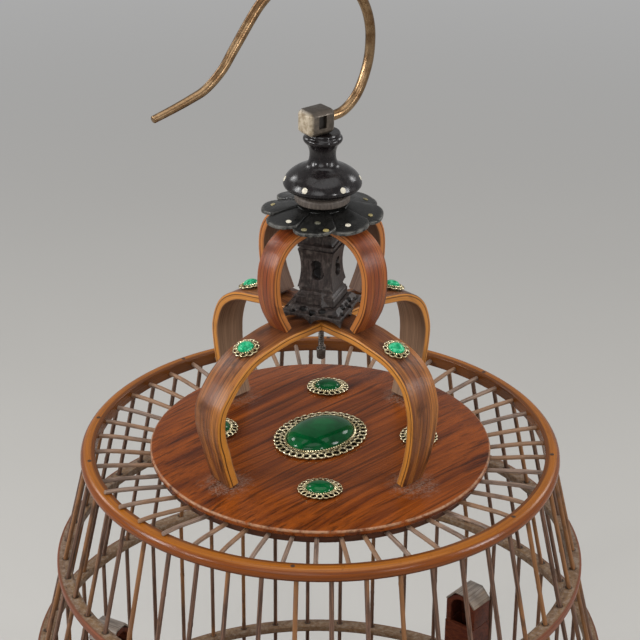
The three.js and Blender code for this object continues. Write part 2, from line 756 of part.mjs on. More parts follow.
function stone([length, width], dome, segments) {
  const half = length / 2;
  const profile = [[0, 0], [half, 0], [half, dome * 0.3], [half * 0.82, dome * 0.72], [half * 0.45, dome * 0.95], [0, dome]];
  return skin(solid(turned(profile, segments).scale(1, width / length, 1)));
}

const finish = (color, roughness, metalness = 0) => new THREE.MeshStandardMaterial({
  color, roughness, metalness, flatShading: true,
});

const cage = new THREE.Group();

function place(name, geometry, color, roughness, metalness, parent = cage) {
  const mesh = new THREE.Mesh(geometry, finish(color, roughness, metalness));
  mesh.name = name;
  parent.add(mesh);
  return mesh;
}

const wasm = await Module();
wasm.setup();

const rosewood = 0x5d2a14;
const amberBamboo = 0xa0621f;
const greyBamboo = 0x6b5747;
const bowBamboo = 0x7a4a2a;
const ebony = 0x17130f;
const brass = 0x9a7a45;
const steel = 0x4a4540;
const filigree = 0xa89a72;
const jade = 0x0e6b3c;

// Wall and crown frame
place('crown_ring', crownRing(), amberBamboo, 0.35);
place('hoop_2', hoop2(), greyBamboo, 0.5);
place('hoop_3', hoop3(), greyBamboo, 0.5);
place('hoop_4', hoop4(), greyBamboo, 0.5);
place('wall_bars', wallBars(), greyBamboo, 0.5);
place('base_hoop', baseHoop(), greyBamboo, 0.45);
place('spoke_wheel', spokeWheel(), greyBamboo, 0.5);
place('crown_disc', disc(), rosewood, 0.25);

const footNames = ['foot_right', 'foot_left', 'foot_back'];
footAzimuths.forEach((azimuth, i) => {
  const mesh = place(footNames[i], foot(), rosewood, 0.4);
  mesh.position.set(wallRadius * Math.sin(radians(azimuth)), -wallRadius * Math.cos(radians(azimuth)), 0);
  mesh.rotation.z = facing(azimuth);
});

// Floor, tray, door and perch
place('tray_runner_right', runner(1), greyBamboo, 0.55);
place('tray_runner_left', runner(-1), greyBamboo, 0.55);
place('floor_grid', floorGrid(), greyBamboo, 0.55);
place('tray', tray(), bowBamboo, 0.45);
const pull = place('tray_pull', turnedKnob(pullRadius, pullLength), rosewood, 0.35);
pull.position.set(0, -trayRadius - seatGap, trayLow + trayHeight / 2);
pull.rotation.z = facing(0);
place('door', doorPanel(), greyBamboo, 0.5);
const knobSeat = wallRadius + doorRailWidth / 2 + seatGap;
const knob = place('door_knob', turnedKnob(knobRadius, knobLength), brass, 0.4, 1);
knob.position.set(knobSeat * Math.sin(radians(doorMiddle)), -knobSeat * Math.cos(radians(doorMiddle)),
  hoop4Top + seatGap + doorRailHeight / 2);
knob.rotation.z = facing(doorMiddle);
const perchMesh = place('perch', perch(), bowBamboo, 0.6);
perchMesh.position.z = hoop4Top + perchRise;
perchMesh.rotation.z = facing(barAzimuths[perchBar]);

for (const [name, barPlace] of Object.entries(feederPlaces)) {
  const feeder = new THREE.Group();
  feeder.rotation.z = facing(barTurn + barPlace * barPitch);
  cage.add(feeder);
  place(`${name}_cup`, feederCup(), bowBamboo, 0.45, 0, feeder);
  place(`${name}_hood`, feederHood(), greyBamboo, 0.5, 0, feeder);
}

// Crown: bows, arches, post, lotus plate and finial
place('lower_bow_a', bow(bowAzimuths[0], true), bowBamboo, 0.35);
place('lower_bow_b', bow(bowAzimuths[1], false), bowBamboo, 0.35);
for (const [name, azimuth] of Object.entries(archAzimuths)) {
  place(name, arch(), bowBamboo, 0.35).rotation.z = facing(azimuth);
}
place('base_plate', basePlate(), ebony, 0.5);
place('post', post(), ebony, 0.45);
place('lotus_plate', lotusPlate(), ebony, 0.3);
place('finial_collar', collar(), ebony, 0.4);
place('finial', finial(), ebony, 0.15);

// Hook, its block and the rod that ties the crown together
place('hook_block', hookBlock(), brass, 0.4, 1);
place('hook', hook(), brass, 0.4, 1).rotation.z = facing(hookTurn);
place('tie_rod', tieRod(), steel, 0.5, 1);
place('rod_nut', rodNut(), steel, 0.5, 1);
place('rod_end_nut', endNut(), steel, 0.5, 1);

// Jewels on the disc and on the bows' shoulders
function jewel(name, sizes, dome, segments) {
  const group = new THREE.Group();
  cage.add(group);
  place(`${name}_setting`, setting(...sizes, segments), filigree, 0.4, 1, group);
  place(`${name}_stone`, stone(sizes[1], dome, segments), jade, 0.1, 0, group);
  return group;
}

const centre = jewel('centre', [centreSetting, centreStone], centreDome, 20);
centre.position.z = discTop + seatGap;
centre.rotation.z = radians(centreTurn);

for (const [name, [azimuth, shift]] of Object.entries(sidePlaces)) {
  const group = jewel(name, [sideSetting, sideStone], sideDome, 12);
  const out = radians(azimuth);
  const reach = sideRadius - shift;
  group.position.set(reach * Math.sin(out), -reach * Math.cos(out), discTop + seatGap);
  group.rotation.z = out;
}

// A shoulder jewel sits on the bow's outer face, square to it
const shoulder = bowCurve().getPointAt(shoulderPlace);
const slope = bowCurve().getTangentAt(shoulderPlace);
const lean = Math.atan2(slope.z, -slope.x);
for (const [name, azimuth] of Object.entries(archAzimuths)) {
  const carrier = new THREE.Group();
  carrier.rotation.z = facing(azimuth);
  cage.add(carrier);
  const group = jewel(name.replace('arch', 'shoulder'), [shoulderSetting, shoulderStone], shoulderDome, 8);
  group.position.set(shoulder.x, 0, shoulder.z).addScaledVector(new THREE.Vector3(Math.sin(lean), 0, Math.cos(lean)), seatGap);
  group.rotation.y = lean;
  carrier.add(group);
}

export default cage;
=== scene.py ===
import json
import math
import random

import bmesh
import bpy
from mathutils import Matrix, Vector


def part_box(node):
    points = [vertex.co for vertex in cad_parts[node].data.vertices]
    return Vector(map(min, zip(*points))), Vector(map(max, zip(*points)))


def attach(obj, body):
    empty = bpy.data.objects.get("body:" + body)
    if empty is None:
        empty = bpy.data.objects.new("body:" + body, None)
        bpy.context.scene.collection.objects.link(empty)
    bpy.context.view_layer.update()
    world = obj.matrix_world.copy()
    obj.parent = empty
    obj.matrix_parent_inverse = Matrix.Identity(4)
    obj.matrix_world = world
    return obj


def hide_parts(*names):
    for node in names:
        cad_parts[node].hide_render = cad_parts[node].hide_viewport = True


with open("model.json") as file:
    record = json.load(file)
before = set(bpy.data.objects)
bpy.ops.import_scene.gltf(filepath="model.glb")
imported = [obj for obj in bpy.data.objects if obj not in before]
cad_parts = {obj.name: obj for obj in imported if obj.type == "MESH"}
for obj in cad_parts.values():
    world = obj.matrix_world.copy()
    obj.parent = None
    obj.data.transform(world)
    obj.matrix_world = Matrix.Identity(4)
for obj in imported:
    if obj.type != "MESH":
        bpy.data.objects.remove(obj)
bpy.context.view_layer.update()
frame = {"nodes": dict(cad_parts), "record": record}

mm = 0.001  # shapes are modelled in millimetres, then scaled to the frame's metres
bodyOf = {node: body for body, nodes in frame["record"]["behaviour"]["bodies"].items() for node in nodes}
chance = random.Random(11)
weld = 0.003  # points closer than this are one


# Places: azimuths count from the front, positive towards +X
def low(node):
    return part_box(node)[0].z / mm


def high(node):
    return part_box(node)[1].z / mm


def reachOf(node):  # how far a node goes towards +X
    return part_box(node)[1].x / mm


def rotated(angle, axis="Z"):
    return Matrix.Rotation(math.radians(angle), 4, axis)


def moved(x, y, z):
    return Matrix.Translation((x, y, z))


def stretched(x, y=1, z=1):
    return Matrix.Diagonal((x, y, z, 1))


def facing(azimuth):
    return rotated(azimuth - 90)


def between(start, end, share):
    return start + (end - start) * share


def eased(share):  # from 0 to 1, slow at both ends
    share = min(1, max(0, share))
    return share * share * (3 - 2 * share)


# Sizes in millimetres that pieces and finishes share
wall = {"count": 46, "turn": 2.7, "wallRadius": 156.5, "shoulderRadius": 142, "crownRadius": 126.45,
        "barRadius": 1.24, "sides": 10, "step": 9, "sway": 0, "tipInset": 2.5,
        "knotEvery": 150, "knotMargin": 6, "knotSteps": (-1.6, -0.5, 0.5, 1.6), "knotGrowth": 0.1,
        "hoopWidth": 8.1, "hoopHeight": 4.5, "hoopSoft": 0.9, "hoopSteps": 160, "baseWidth": 15,
        "baseSoft": 2, "sillHeight": 14, "sillWidth": 12, "sillSoft": 1.4, "sillGap": 1.3, "trayGap": 0.45}
pitch = 360 / wall["count"]
bore = 2.06  # through all that the tie rod holds
disc = {"radius": 92.7, "thickness": 3.6, "flatRadius": 60, "lip": 1.1, "lowerLip": 0.9, "steps": 192,
        "crestSteps": 8}
bows = {"width": 20, "footWidth": 15.5, "thickness": 4.6, "taper": 46, "points": 96, "lapGap": 0.3,
        "lapStep": 0.02,
        "outline": [(68.5, 0), (73.65, 16.72), (76.3, 34.2), (76.07, 47.12), (70.45, 61.56), (59.13, 70.3),
                    (42.73, 74.48), (32.05, 76), (19.08, 76), (0, 76)]}
arches = {"width": 15.3, "narrow": 13.2, "thickness": 4.4, "points": 40, "gap": 0.3,
          "azimuths": {"arch_front_right": 45, "arch_back_right": 135, "arch_back_left": -135,
                       "arch_front_left": -45},
          "outline": [(32, 0), (38.37, 13.06), (40.6, 27.2), (39.18, 38.08), (34.1, 46.78), (26.8, 51.68),
                      (19.49, 53.58), (13.2, 54.4)]}
hook = {"turn": 128, "radius": 2.6, "tipRadius": 1.9, "tipFrom": 0.72, "sides": 20, "points": 150,
        "rootRise": 6.8, "loopRadius": 41, "loopOffset": -11, "loopRise": 43.6, "loopTurn": 142,
        "loopPoints": 17, "tail": 36, "tailKnots": (20, 30),
        "root": [(12, 0.9), (17.5, 4), (22.2, 9), (26.4, 17.2), (29.2, 26.6)],
        "tip": [(-6.5, -3.2), (-15, -6.2), (-26, -9.2), (-37, -11.8)],
        "blockStart": -12.55, "blockEnd": 3.85, "blockWidth": 12.8, "blockSoft": 2.1,
        "recessMiddle": (7.6, 7.4), "recessHalf": (2.4, 3.3), "recessDepth": 1.6}
discTop = high("crown_disc")


# Shapes
def newShape():
    shape = bmesh.new()
    shape.verts.layers.float_vector.new("laid")  # where a point would lie if the strip were straight
    shape.verts.layers.float.new("tint")  # a shade of its own for each bar or dot, and the painted shade of each hollow
    return shape


def tinted(shape, tint, verts=None):
    for vert in verts or shape.verts:
        vert[shape.verts.layers.float["tint"]] = tint


def rounded(corners, steps=5):  # corners as (x, y, radius), each radius made an arc
    points = []
    for i, (x, y, radius) in enumerate(corners):
        here = Vector((x, y))
        into = (Vector(corners[i - 1][:2]) - here).normalized()
        out = (Vector(corners[(i + 1) % len(corners)][:2]) - here).normalized()
        if radius == 0:
            points.append((x, y))
            continue
        half = into.angle(out) / 2
        centre = here + (into + out).normalized() * radius / math.sin(half)
        start = here + into * radius / math.tan(half) - centre
        end = here + out * radius / math.tan(half) - centre
        first = math.atan2(start.y, start.x)
        swing = (math.atan2(end.y, end.x) - first + math.pi) % (2 * math.pi) - math.pi
        for j in range(steps + 1):
            angle = first + swing * j / steps
            points.append((centre.x + radius * math.cos(angle), centre.y + radius * math.sin(angle)))
    return points


def spun(shape, parts, steps):  # once round Z
    bmesh.ops.spin(shape, geom=parts, cent=(0, 0, 0), axis=(0, 0, 1), dvec=(0, 0, 0), angle=2 * math.pi,
                   steps=steps, use_merge=True, use_duplicate=False)


def turned(shape, profile, steps, closed=True):  # a profile of (radius, height) spun about Z
    verts = [shape.verts.new((radius, 0, height)) for radius, height in profile]
    pairs = zip(verts, verts[1:] + verts[:1]) if closed else zip(verts, verts[1:])
    spun(shape, verts + [shape.edges.new(pair) for pair in pairs], steps)


def flatFace(shape, points):
    return shape.faces.new([shape.verts.new((x, y, 0)) for x, y in points])


def roundFace(shape, radius, sides):
    made = bmesh.ops.create_circle(shape, cap_ends=True, radius=radius, segments=sides)
    return made["verts"][0].link_faces[0]


def smoothCurve(knots, count):  # evenly spaced points on a centripetal curve through the knots
    knots = [Vector(knot) for knot in knots]
    padded = [2 * knots[0] - knots[1]] + knots + [2 * knots[-1] - knots[-2]]
    dense, steps = [], 24
    for i in range(1, len(padded) - 2):
        p = padded[i - 1:i + 3]
        t = [0]
        for a, b in zip(p, p[1:]):
            t.append(t[-1] + max((b - a).length, 1e-6) ** 0.5)
        for j in range(steps):
            u = between(t[1], t[2], j / steps)
            a = [p[k].lerp(p[k + 1], (u - t[k]) / (t[k + 1] - t[k])) for k in range(3)]
            b = [a[k].lerp(a[k + 1], (u - t[k]) / (t[k + 2] - t[k])) for k in range(2)]
            dense.append(b[0].lerp(b[1], (u - t[1]) / (t[2] - t[1])))
    dense.append(knots[-1])
    runs = [0]
    for a, b in zip(dense, dense[1:]):
        runs.append(runs[-1] + (b - a).length)
    points, k = [], 0
    for i in range(count + 1):
        want = runs[-1] * i / count
        while k < len(runs) - 2 and runs[k + 1] < want:
            k += 1
        points.append(dense[k].lerp(dense[k + 1], (want - runs[k]) / (runs[k + 1] - runs[k])))
    return points


def drawn(shape, face, points, side=(0, 1, 0), tint=0.0, change=None):  # pulls a flat face along a path
    laid = shape.verts.layers.float_vector["laid"]
    side, run, undo = Vector(side), 0, Matrix()
    for i, point in enumerate(points):
        before, after = points[max(i - 1, 0)], points[min(i + 1, len(points) - 1)]
        ahead = ((point - before).normalized() + (after - point).normalized()).normalized()
        place = Matrix((side.cross(ahead), side, ahead)).transposed().to_4x4()
        place.translation = point
        if change:
            place = place @ change(i)
        run += (point - before).length
        if i:
            made = bmesh.ops.extrude_face_region(shape, geom=[face], use_keep_orig=True)
            if i > 1:  # only the two end faces stay
                bmesh.ops.delete(shape, geom=[face], context="FACES_ONLY")
            face = next(part for part in made["geom"] if isinstance(part, bmesh.types.BMFace))
        bmesh.ops.transform(shape, matrix=place @ undo, verts=face.verts)
        undo = place.inverted()
        for vert in face.verts:
            flat = undo @ vert.co
            vert[laid] = (flat.x, flat.y, run)
        tinted(shape, tint, face.verts)


def poured(shape, part, *places, slot=0):  # adds a copy of a part at each place, and frees the part
    for face in part.faces:
        face.material_index = slot
    mesh = bpy.data.meshes.new("part")
    part.to_mesh(mesh)
    part.free()
    for place in places or [Matrix()]:
        start = len(shape.verts)
        shape.from_mesh(mesh)
        shape.verts.ensure_lookup_table()
        bmesh.ops.transform(shape, matrix=place, verts=shape.verts[start:])
    bpy.data.meshes.remove(mesh)


def softened(shape, width, segments=2, sharper=40):
    edges = [edge for edge in shape.edges
             if len(edge.link_faces) == 2 and edge.calc_face_angle(0) > math.radians(sharper)]
    bmesh.ops.bevel(shape, geom=edges, offset=width, offset_type="OFFSET", affect="EDGES",
                    segments=segments, profile=0.5, clamp_overlap=True, material=-1)


def block(shape, lowest, highest):
    made = bmesh.ops.create_cube(shape, size=1)
    bmesh.ops.scale(shape, vec=Vector(highest) - Vector(lowest), verts=made["verts"])
    bmesh.ops.translate(shape, vec=(Vector(highest) + Vector(lowest)) / 2, verts=made["verts"])


def inlay(shape, radius, sides, tint, place):  # a dot of bone
    part = newShape()
    bmesh.ops.create_uvsphere(part, u_segments=sides, v_segments=sides // 2, radius=radius)
    tinted(part, tint)
    poured(shape, part, place, slot=1)


def welded(shape):
    bmesh.ops.remove_doubles(shape, verts=shape.verts, dist=weld)
    bmesh.ops.recalc_face_normals(shape, faces=shape.faces)


def linked(name, data):
    made = bpy.data.objects.new(name, data)
    bpy.context.scene.collection.objects.link(made)
    return made


def dressed(name, node, shape, *finishes, place=Matrix(), sharp=40):  # a finished piece instead of a node
    bmesh.ops.transform(shape, matrix=place, verts=shape.verts)
    welded(shape)
    bmesh.ops.scale(shape, vec=(mm, mm, mm), verts=shape.verts)
    mesh = bpy.data.meshes.new(name)
    shape.to_mesh(mesh)
    shape.free()
    mesh.shade_smooth()
    mesh.set_sharp_from_angle(angle=math.radians(sharp))
    for finish in finishes:
        mesh.materials.append(looks[finish])
    piece = linked(name, mesh)
    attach(piece, bodyOf[node])
    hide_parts(node)


# Shader maths
class Socket:
    def __init__(self, look, link):
        self.look = look
        self.link = link

    def math(self, operation, first, second=0.0):
        return self.look.add("ShaderNodeMath", {"operation": operation}, {0: first, 1: second})

    def __add__(self, other):
        return self.math("ADD", self, other)

    def __sub__(self, other):
        return self.math("SUBTRACT", self, other)

    def __rsub__(self, other):
        return self.math("SUBTRACT", other, self)

    def __mul__(self, other):
        return self.math("MULTIPLY", self, other)

    def __truediv__(self, other):
        return self.math("DIVIDE", self, other)

    def __abs__(self):
        return self.math("ABSOLUTE", self)

    def root(self):
        return self.math("SQRT", self)

    __radd__ = __add__
    __rmul__ = __mul__


class Look:  # the node tree of a material or a world
    def __init__(self, name, kind="materials", shader="Principled BSDF"):
        self.owner = getattr(bpy.data, kind).new(name)
        self.owner.use_nodes = True
        self.tree = self.owner.node_tree
        self.shader = self.tree.nodes[shader]

    def fill(self, node, sockets):
        for key, value in sockets.items():
            if isinstance(value, Socket):
                self.tree.links.new(value.link, node.inputs[key])
            else:
                node.inputs[key].default_value = tone(value) if isinstance(value, str) else value

    def add(self, kind, settings, sockets, output=0):
        node = self.tree.nodes.new(kind)
        for name, value in settings.items():
            if name == "stops":
                ramp = node.color_ramp
                while len(ramp.elements) < len(value):
                    ramp.elements.new(0.5)
                for element, (place, colour) in zip(ramp.elements, value):
                    element.position = place
                    element.color = tone(colour)
            else:
                setattr(node, name, value)
        self.fill(node, sockets)
        if isinstance(output, tuple):
            return tuple(Socket(self, node.outputs[each]) for each in output)
        return Socket(self, node.outputs[output])

    def vector(self, operation, sockets, output="Vector"):
        return self.add("ShaderNodeVectorMath", {"operation": operation}, sockets, output)

    def joined(self, x, y=0.0, z=0.0):
        return self.add("ShaderNodeCombineXYZ", {}, {0: x, 1: y, 2: z})

    def split(self, vector):
        return self.add("ShaderNodeSeparateXYZ", {}, {0: vector}, ("X", "Y", "Z"))

    def place(self):  # object coordinates in millimetres
        return self.vector("SCALE", {0: self.add("ShaderNodeTexCoord", {}, {}, "Object"), "Scale": 1 / mm})

    def laid(self):
        return self.add("ShaderNodeAttribute", {"attribute_name": "laid"}, {}, "Vector")

    def tint(self):
        return self.add("ShaderNodeAttribute", {"attribute_name": "tint"}, {}, "Fac")

    def facingUp(self):
        return self.split(self.add("ShaderNodeNewGeometry", {}, {}, "Normal"))[2]

    def noise(self, vector, stretch, detail=3.0, roughness=0.55, distortion=0.0):
        if not isinstance(stretch, tuple):
            stretch = (stretch, stretch, stretch)
        scaled = self.vector("MULTIPLY", {0: vector, 1: stretch})
        return self.add("ShaderNodeTexNoise", {}, {"Vector": scaled, "Scale": 1, "Detail": detail,
                                                   "Roughness": roughness, "Distortion": distortion}, "Fac")

    def ringNoise(self, along, across, detail=3.0):  # grain that runs round Z without a seam
        x, y, z = self.split(self.place())
        radius = (x * x + y * y).root()
        around = self.joined(x / radius * along, y / radius * along, radius * across)
        sockets = {"Vector": around, "W": z * across, "Scale": 1, "Detail": detail, "Roughness": 0.6}
        return self.add("ShaderNodeTexNoise", {"noise_dimensions": "4D"}, sockets, "Fac")

    def ease(self, value, start, end, first=0.0, last=1.0):
        return self.add("ShaderNodeMapRange", {"interpolation_type": "SMOOTHSTEP"},
                        {"Value": value, "From Min": start, "From Max": end, "To Min": first, "To Max": last})

    def blend(self, factor, first, second):
        return self.add("ShaderNodeMix", {"data_type": "RGBA"}, {0: factor, 6: first, 7: second}, 2)

    def over(self, colour, other, value, start, end, share=1.0):  # the other colour, where value nears end
        return self.blend(self.ease(value, start, end) * share, colour, other)

    def ramp(self, value, *stops):
        return self.add("ShaderNodeValToRGB", {"stops": stops}, {"Fac": value}, "Color")

    def bump(self, height, depth):
        sockets = {"Height": height, "Distance": depth * mm, "Strength": 1.0}
        return self.add("ShaderNodeBump", {}, sockets, "Normal")

    def done(self, **sockets):
        self.fill(self.shader, {name.replace("_", " "): value for name, value in sockets.items()})
        return self.owner


def tone(code):  # a screen colour as the shader's linear one
    parts = [int(code[i:i + 2], 16) / 255 for i in (0, 2, 4)]
    return (*[part / 12.92 if part <= 0.04045 else ((part + 0.055) / 1.055) ** 2.4 for part in parts], 1)


# Finishes
def caneLook(name, dark, light, glow, glowShare):
    look = Look(name)
    tint = look.tint()
    offset = look.vector("SCALE", {0: (91, 37, 900), "Scale": tint})  # so that no two bars are alike
    laid = look.vector("ADD", {0: look.laid(), 1: offset})
    fibres = look.noise(laid, (3.2, 3.2, 0.05), 4)
    patches = look.noise(laid, (0.1, 0.1, 0.02))
    grime = look.noise(laid, (0.3, 0.3, 0.09), 4)
    colour = look.over(dark, light, fibres, 0.32, 0.68)
    colour = look.over(colour, glow, patches + tint * 0.35, 0.95 - glowShare, 1.15 - glowShare, 0.7)
    colour = look.over(colour, dark, grime, 0.5, 0.7, 0.65)
    return look.done(Base_Color=colour, Roughness=look.ease(fibres, 0.3, 0.7, 0.36, 0.52),
                     Normal=look.bump(fibres, 0.12), Specular_IOR_Level=0.3)


def barHoleShade(look, x, y, radius, axisRadius):  # painted shade: the dark mouths of the holes that the bars pass through
    share = (x.math("ARCTAN2", x, 0 - y) * (180 / math.pi) - wall["turn"]) / pitch
    aside = (share.math("FRACT", share + (wall["count"] + 0.5)) - 0.5) * (math.radians(pitch) * axisRadius)
    outwards = radius - axisRadius
    return look.ease((aside * aside + outwards * outwards).root(), 2.5, 1.5)


def hoopLook(name, top, side, streakAndShade, patch, split, rough, axisRadius=0, inward=0, worn=None):
    # split is the radius where the top's colour gives way to the outer side's
    look = Look(name)
    here = look.place()
    x, y = look.split(here)[:2]
    radius = (x * x + y * y).root()
    fine = look.ringNoise(3.0, 1.6, 4)
    lines = look.ringNoise(2.2, 3.4)
    broad = look.ringNoise(5.0, 0.3)
    mottle = look.noise(here, 0.42, 6, 0.7)
    colour = look.over(top, patch, fine, 0.34, 0.7, 0.55)
    if worn:
        colour = look.over(colour, worn, mottle, 0.47, 0.62, 0.6)
        colour = look.over(colour, streakAndShade, mottle, 0.44, 0.34, 0.7)
    else:
        colour = look.over(colour, streakAndShade, mottle, 0.56, 0.72, 0.45)
    outer = look.over(side, streakAndShade, fine, 0.3, 0.75, 0.6)
    colour = look.over(colour, outer, radius + broad * 0.8, split - 0.3, split + 0.9)
    colour = look.over(colour, streakAndShade, lines, 0.57, 0.68, 0.6)
    colour = look.over(colour, streakAndShade, broad, 0.58, 0.8, 0.5)
    if inward:  # painted shade on the inner side, so far in from the split
        colour = look.over(colour, streakAndShade, radius, split - inward, split - inward - 1.2, 0.75)
    # painted shade on the faces that turn downwards
    colour = look.over(colour, streakAndShade, look.facingUp(), 0, -0.6, 0.7)
    if axisRadius:
        # painted shade round each bar where it passes through the hoop
        colour = look.blend(barHoleShade(look, x, y, radius, axisRadius) * 0.85, colour, "1d1612")
    return look.done(Base_Color=colour, Roughness=look.ease(fine, 0.3, 0.7, rough - 0.06, rough + 0.12),
                     Normal=look.bump(fine, 0.1), Specular_IOR_Level=0.22)


def bentLook(name, outer, gold, edge, inner, dark, strip):
    look = Look(name)
    laid = look.laid()
    x, y = look.split(laid)[:2]
    fibres = look.noise(laid, (1.5, 1.5, 0.02), 5, 0.6)
    hairs = look.noise(laid, (4.5, 4.5, 0.03), 3, 0.6)
    blotch = look.noise(laid, (0.11, 0.11, 0.045), 4, 0.6, 0.6)
    drift = look.noise(laid, (0.16, 0.16, 0.012))
    colour = look.over(outer, gold, drift, 0.42, 0.66)
    colour = look.over(colour, dark, fibres, 0.4, 0.68, 0.8)
    colour = look.over(colour, dark, blotch, 0.5, 0.68, 0.75)
    depth = 0 - x
    inside = look.ease(depth, strip["thickness"] * 0.82, strip["thickness"] * 0.97)
    colour = look.blend(inside, colour, look.over(inner, dark, fibres, 0.36, 0.72, 0.6))
    side = look.ease(abs(y), strip["width"] / 2 - 0.75, strip["width"] / 2 - 0.2) * look.ease(depth, 0.1, 0.6)
    edgeColour = look.over(edge, dark, fibres, 0.48, 0.72, 0.6)
    edgeColour = look.over(edgeColour, dark, blotch, 0.55, 0.75, 0.5)
    colour = look.blend(side * (1 - inside * 0.8), colour, edgeColour)
    line = look.ease(abs(depth - strip["thickness"] * 0.28 - drift * 0.5), 0.4, 0.14) * side
    colour = look.blend(line * 0.85, colour, dark)
    return look.done(Base_Color=colour, Roughness=look.ease(hairs, 0.3, 0.7, 0.27, 0.42) + inside * 0.2,
                     Normal=look.bump(hairs, 0.09), Specular_IOR_Level=0.3)


def boardLook(name, base, light, dark, turn, dustAndRimHighlight=False, scale=1.0, gloss=0.3):
    look = Look(name)

    def grain(vector, along, across, detail, roughness=0.55):
        return look.noise(vector, (along * scale, across * scale, across * scale), detail, roughness)

    here = look.place()
    straight = look.add("ShaderNodeVectorRotate", {"rotation_type": "Z_AXIS"},
                        {"Vector": here, "Angle": math.radians(turn)})
    waves = look.joined(0, grain(straight, 0.007, 0.04, 2) * 14)
    wavy = look.vector("ADD", {0: straight, 1: waves})
    bands = grain(wavy, 0.004, 0.09, 4, 0.6)
    streaks = grain(wavy, 0.004, 0.62, 4, 0.62)
    pores = grain(wavy, 0.03, 2.6, 3, 0.6)
    colour = look.ramp(bands, (0.26, dark), (0.38, base), (0.54, light), (0.7, base))
    colour = look.over(colour, dark, streaks, 0.5, 0.66, 0.65)
    colour = look.over(colour, dark, pores, 0.5, 0.66, 0.45)
    rough = look.ease(pores, 0.35, 0.7, gloss, gloss + 0.12)
    if dustAndRimHighlight:  # old glue and dust round the feet of the bows, and a painted highlight along the rounded rim
        x, y, z = look.split(here)
        foot = bows["outline"][0][0] * math.sqrt(0.5)
        away = look.vector("DISTANCE", {0: look.joined(abs(x), abs(y)), 1: (foot, foot, 0)}, "Value")
        speck = look.noise(here, 0.25, 5, 0.7)
        grit = look.noise(here, 1.1, 4, 0.7)
        dust = look.ease(away - speck * 22, 5, -6) * look.ease(grit, 0.4, 0.62)
        colour = look.blend(dust * 0.75, colour, "8c7668")
        # painted highlight: a pale line where the rounded rim catches the light
        radius = (x * x + y * y).root()
        rim = look.ease(radius, disc["radius"] - 1.1, disc["radius"] - 0.5)
        rim = rim * look.ease(z, discTop - 4.2, discTop - 3.4)
        colour = look.blend(rim * look.ease(speck, 0.3, 0.6) * 0.7, colour, "b08a6c")
        rough = rough + dust * 0.3
    return look.done(Base_Color=colour, Roughness=rough, Normal=look.bump(pores, 0.05),
                     Specular_IOR_Level=0.16)


def ebonyLook(name, base, worn, rough, carved=False, pores=0.06):
    look = Look(name)
    here, tint = look.place(), look.tint()
    grain = look.noise(here, (0.9, 0.9, 0.22), 4)
    dust = look.noise(here, 0.3, 5, 0.65)
    colour = look.over(base, worn, grain, 0.4, 0.75)
    if carved:  # tint marks the hollows, whose near black is painted shade
        colour = look.over(colour, "6b625b", dust, 0.5, 0.72, 0.5)
        # painted shade: the hollows darkened to near black
        colour = look.blend(tint * 0.9, colour, "070605")
    else:  # tint marks the rims
        colour = look.blend(look.ease(tint, 0.3, 1) * look.ease(dust, 0.35, 0.65) * 0.5, colour, "7c7a74")
        colour = look.over(colour, "55524d", dust, 0.58, 0.78, 0.12)
    return look.done(Base_Color=colour, Roughness=look.ease(dust, 0.35, 0.7, rough - 0.04, rough + 0.14),
                     Normal=look.bump(grain, pores), Specular_IOR_Level=0.35)


def metalLook(name, base, bright, dull, rough, worn=0.7, metallic=1.0, dents=0.06):
    look = Look(name)
    here = look.place()
    patches = look.noise(here, 0.11, 4, 0.6)
    fine = look.noise(here, 1.4, 3, 0.6)
    colour = look.over(dull, base, patches, 0.35, 0.65)
    colour = look.over(colour, bright, fine, 0.5, 0.72, worn)
    return look.done(Base_Color=colour, Metallic=metallic, Normal=look.bump(patches, dents),
                     Roughness=look.ease(fine, 0.3, 0.7, rough + 0.08, rough - 0.04))


def blockLook(name):  # the near end is painted bright, both worn metal and the key light on it; the top and the recess are painted dark as shade
    look = Look(name)
    here = look.place()
    turn = math.radians(hook["turn"])
    along = look.vector("DOT_PRODUCT", {0: here, 1: (math.sin(turn), -math.cos(turn), 0)}, "Value")
    patches = look.noise(here, 0.35, 5, 0.65)
    # painted light and wear: the near end is brightened, for the key light falling on it and for rubbed metal
    end = look.ease(along, hook["blockStart"] + 2.6, hook["blockStart"] + 0.6)
    colour = look.over("5c5248", "40382f", patches, 0.35, 0.65)
    colour = look.blend(end, colour, look.over("b4a690", "7c6a50", patches, 0.42, 0.68))
    # painted shade on the faces that turn upwards
    colour = look.over(colour, "3a322b", look.facingUp(), 0.5, 0.9, 0.8)
    # painted shade in the recess
    colour = look.blend(look.tint() * 0.9, colour, "15110e")
    return look.done(Base_Color=colour, Metallic=0.35 - 0.25 * end, Normal=look.bump(patches, 0.12),
                     Roughness=look.ease(patches, 0.3, 0.7, 0.34, 0.55))


def jadeLook(name, base, deep, pale, cloud):
    look = Look(name)
    here = look.place()
    mottle = look.noise(here, cloud, 4, 0.6, 1.2)
    veins = look.noise(here, cloud * 3, 3, 0.6, 0.8)
    colour = look.ramp(mottle, (0.32, deep), (0.5, base), (0.7, pale))
    colour = look.over(colour, deep, veins, 0.58, 0.78, 0.3)
    return look.done(Base_Color=colour, Roughness=look.ease(veins, 0.3, 0.8, 0.07, 0.14),
                     Specular_IOR_Level=0.2)


def boneLook(name):
    look = Look(name)
    speck = look.noise(look.place(), 1.2)
    colour = look.ramp(look.tint(), (0, "45473f"), (0.55, "8a7c46"), (1, "cfc8b6"))
    colour = look.over(colour, "8d8472", speck, 0.45, 0.75, 0.4)
    return look.done(Base_Color=colour, Roughness=look.ease(speck, 0.3, 0.7, 0.3, 0.45))


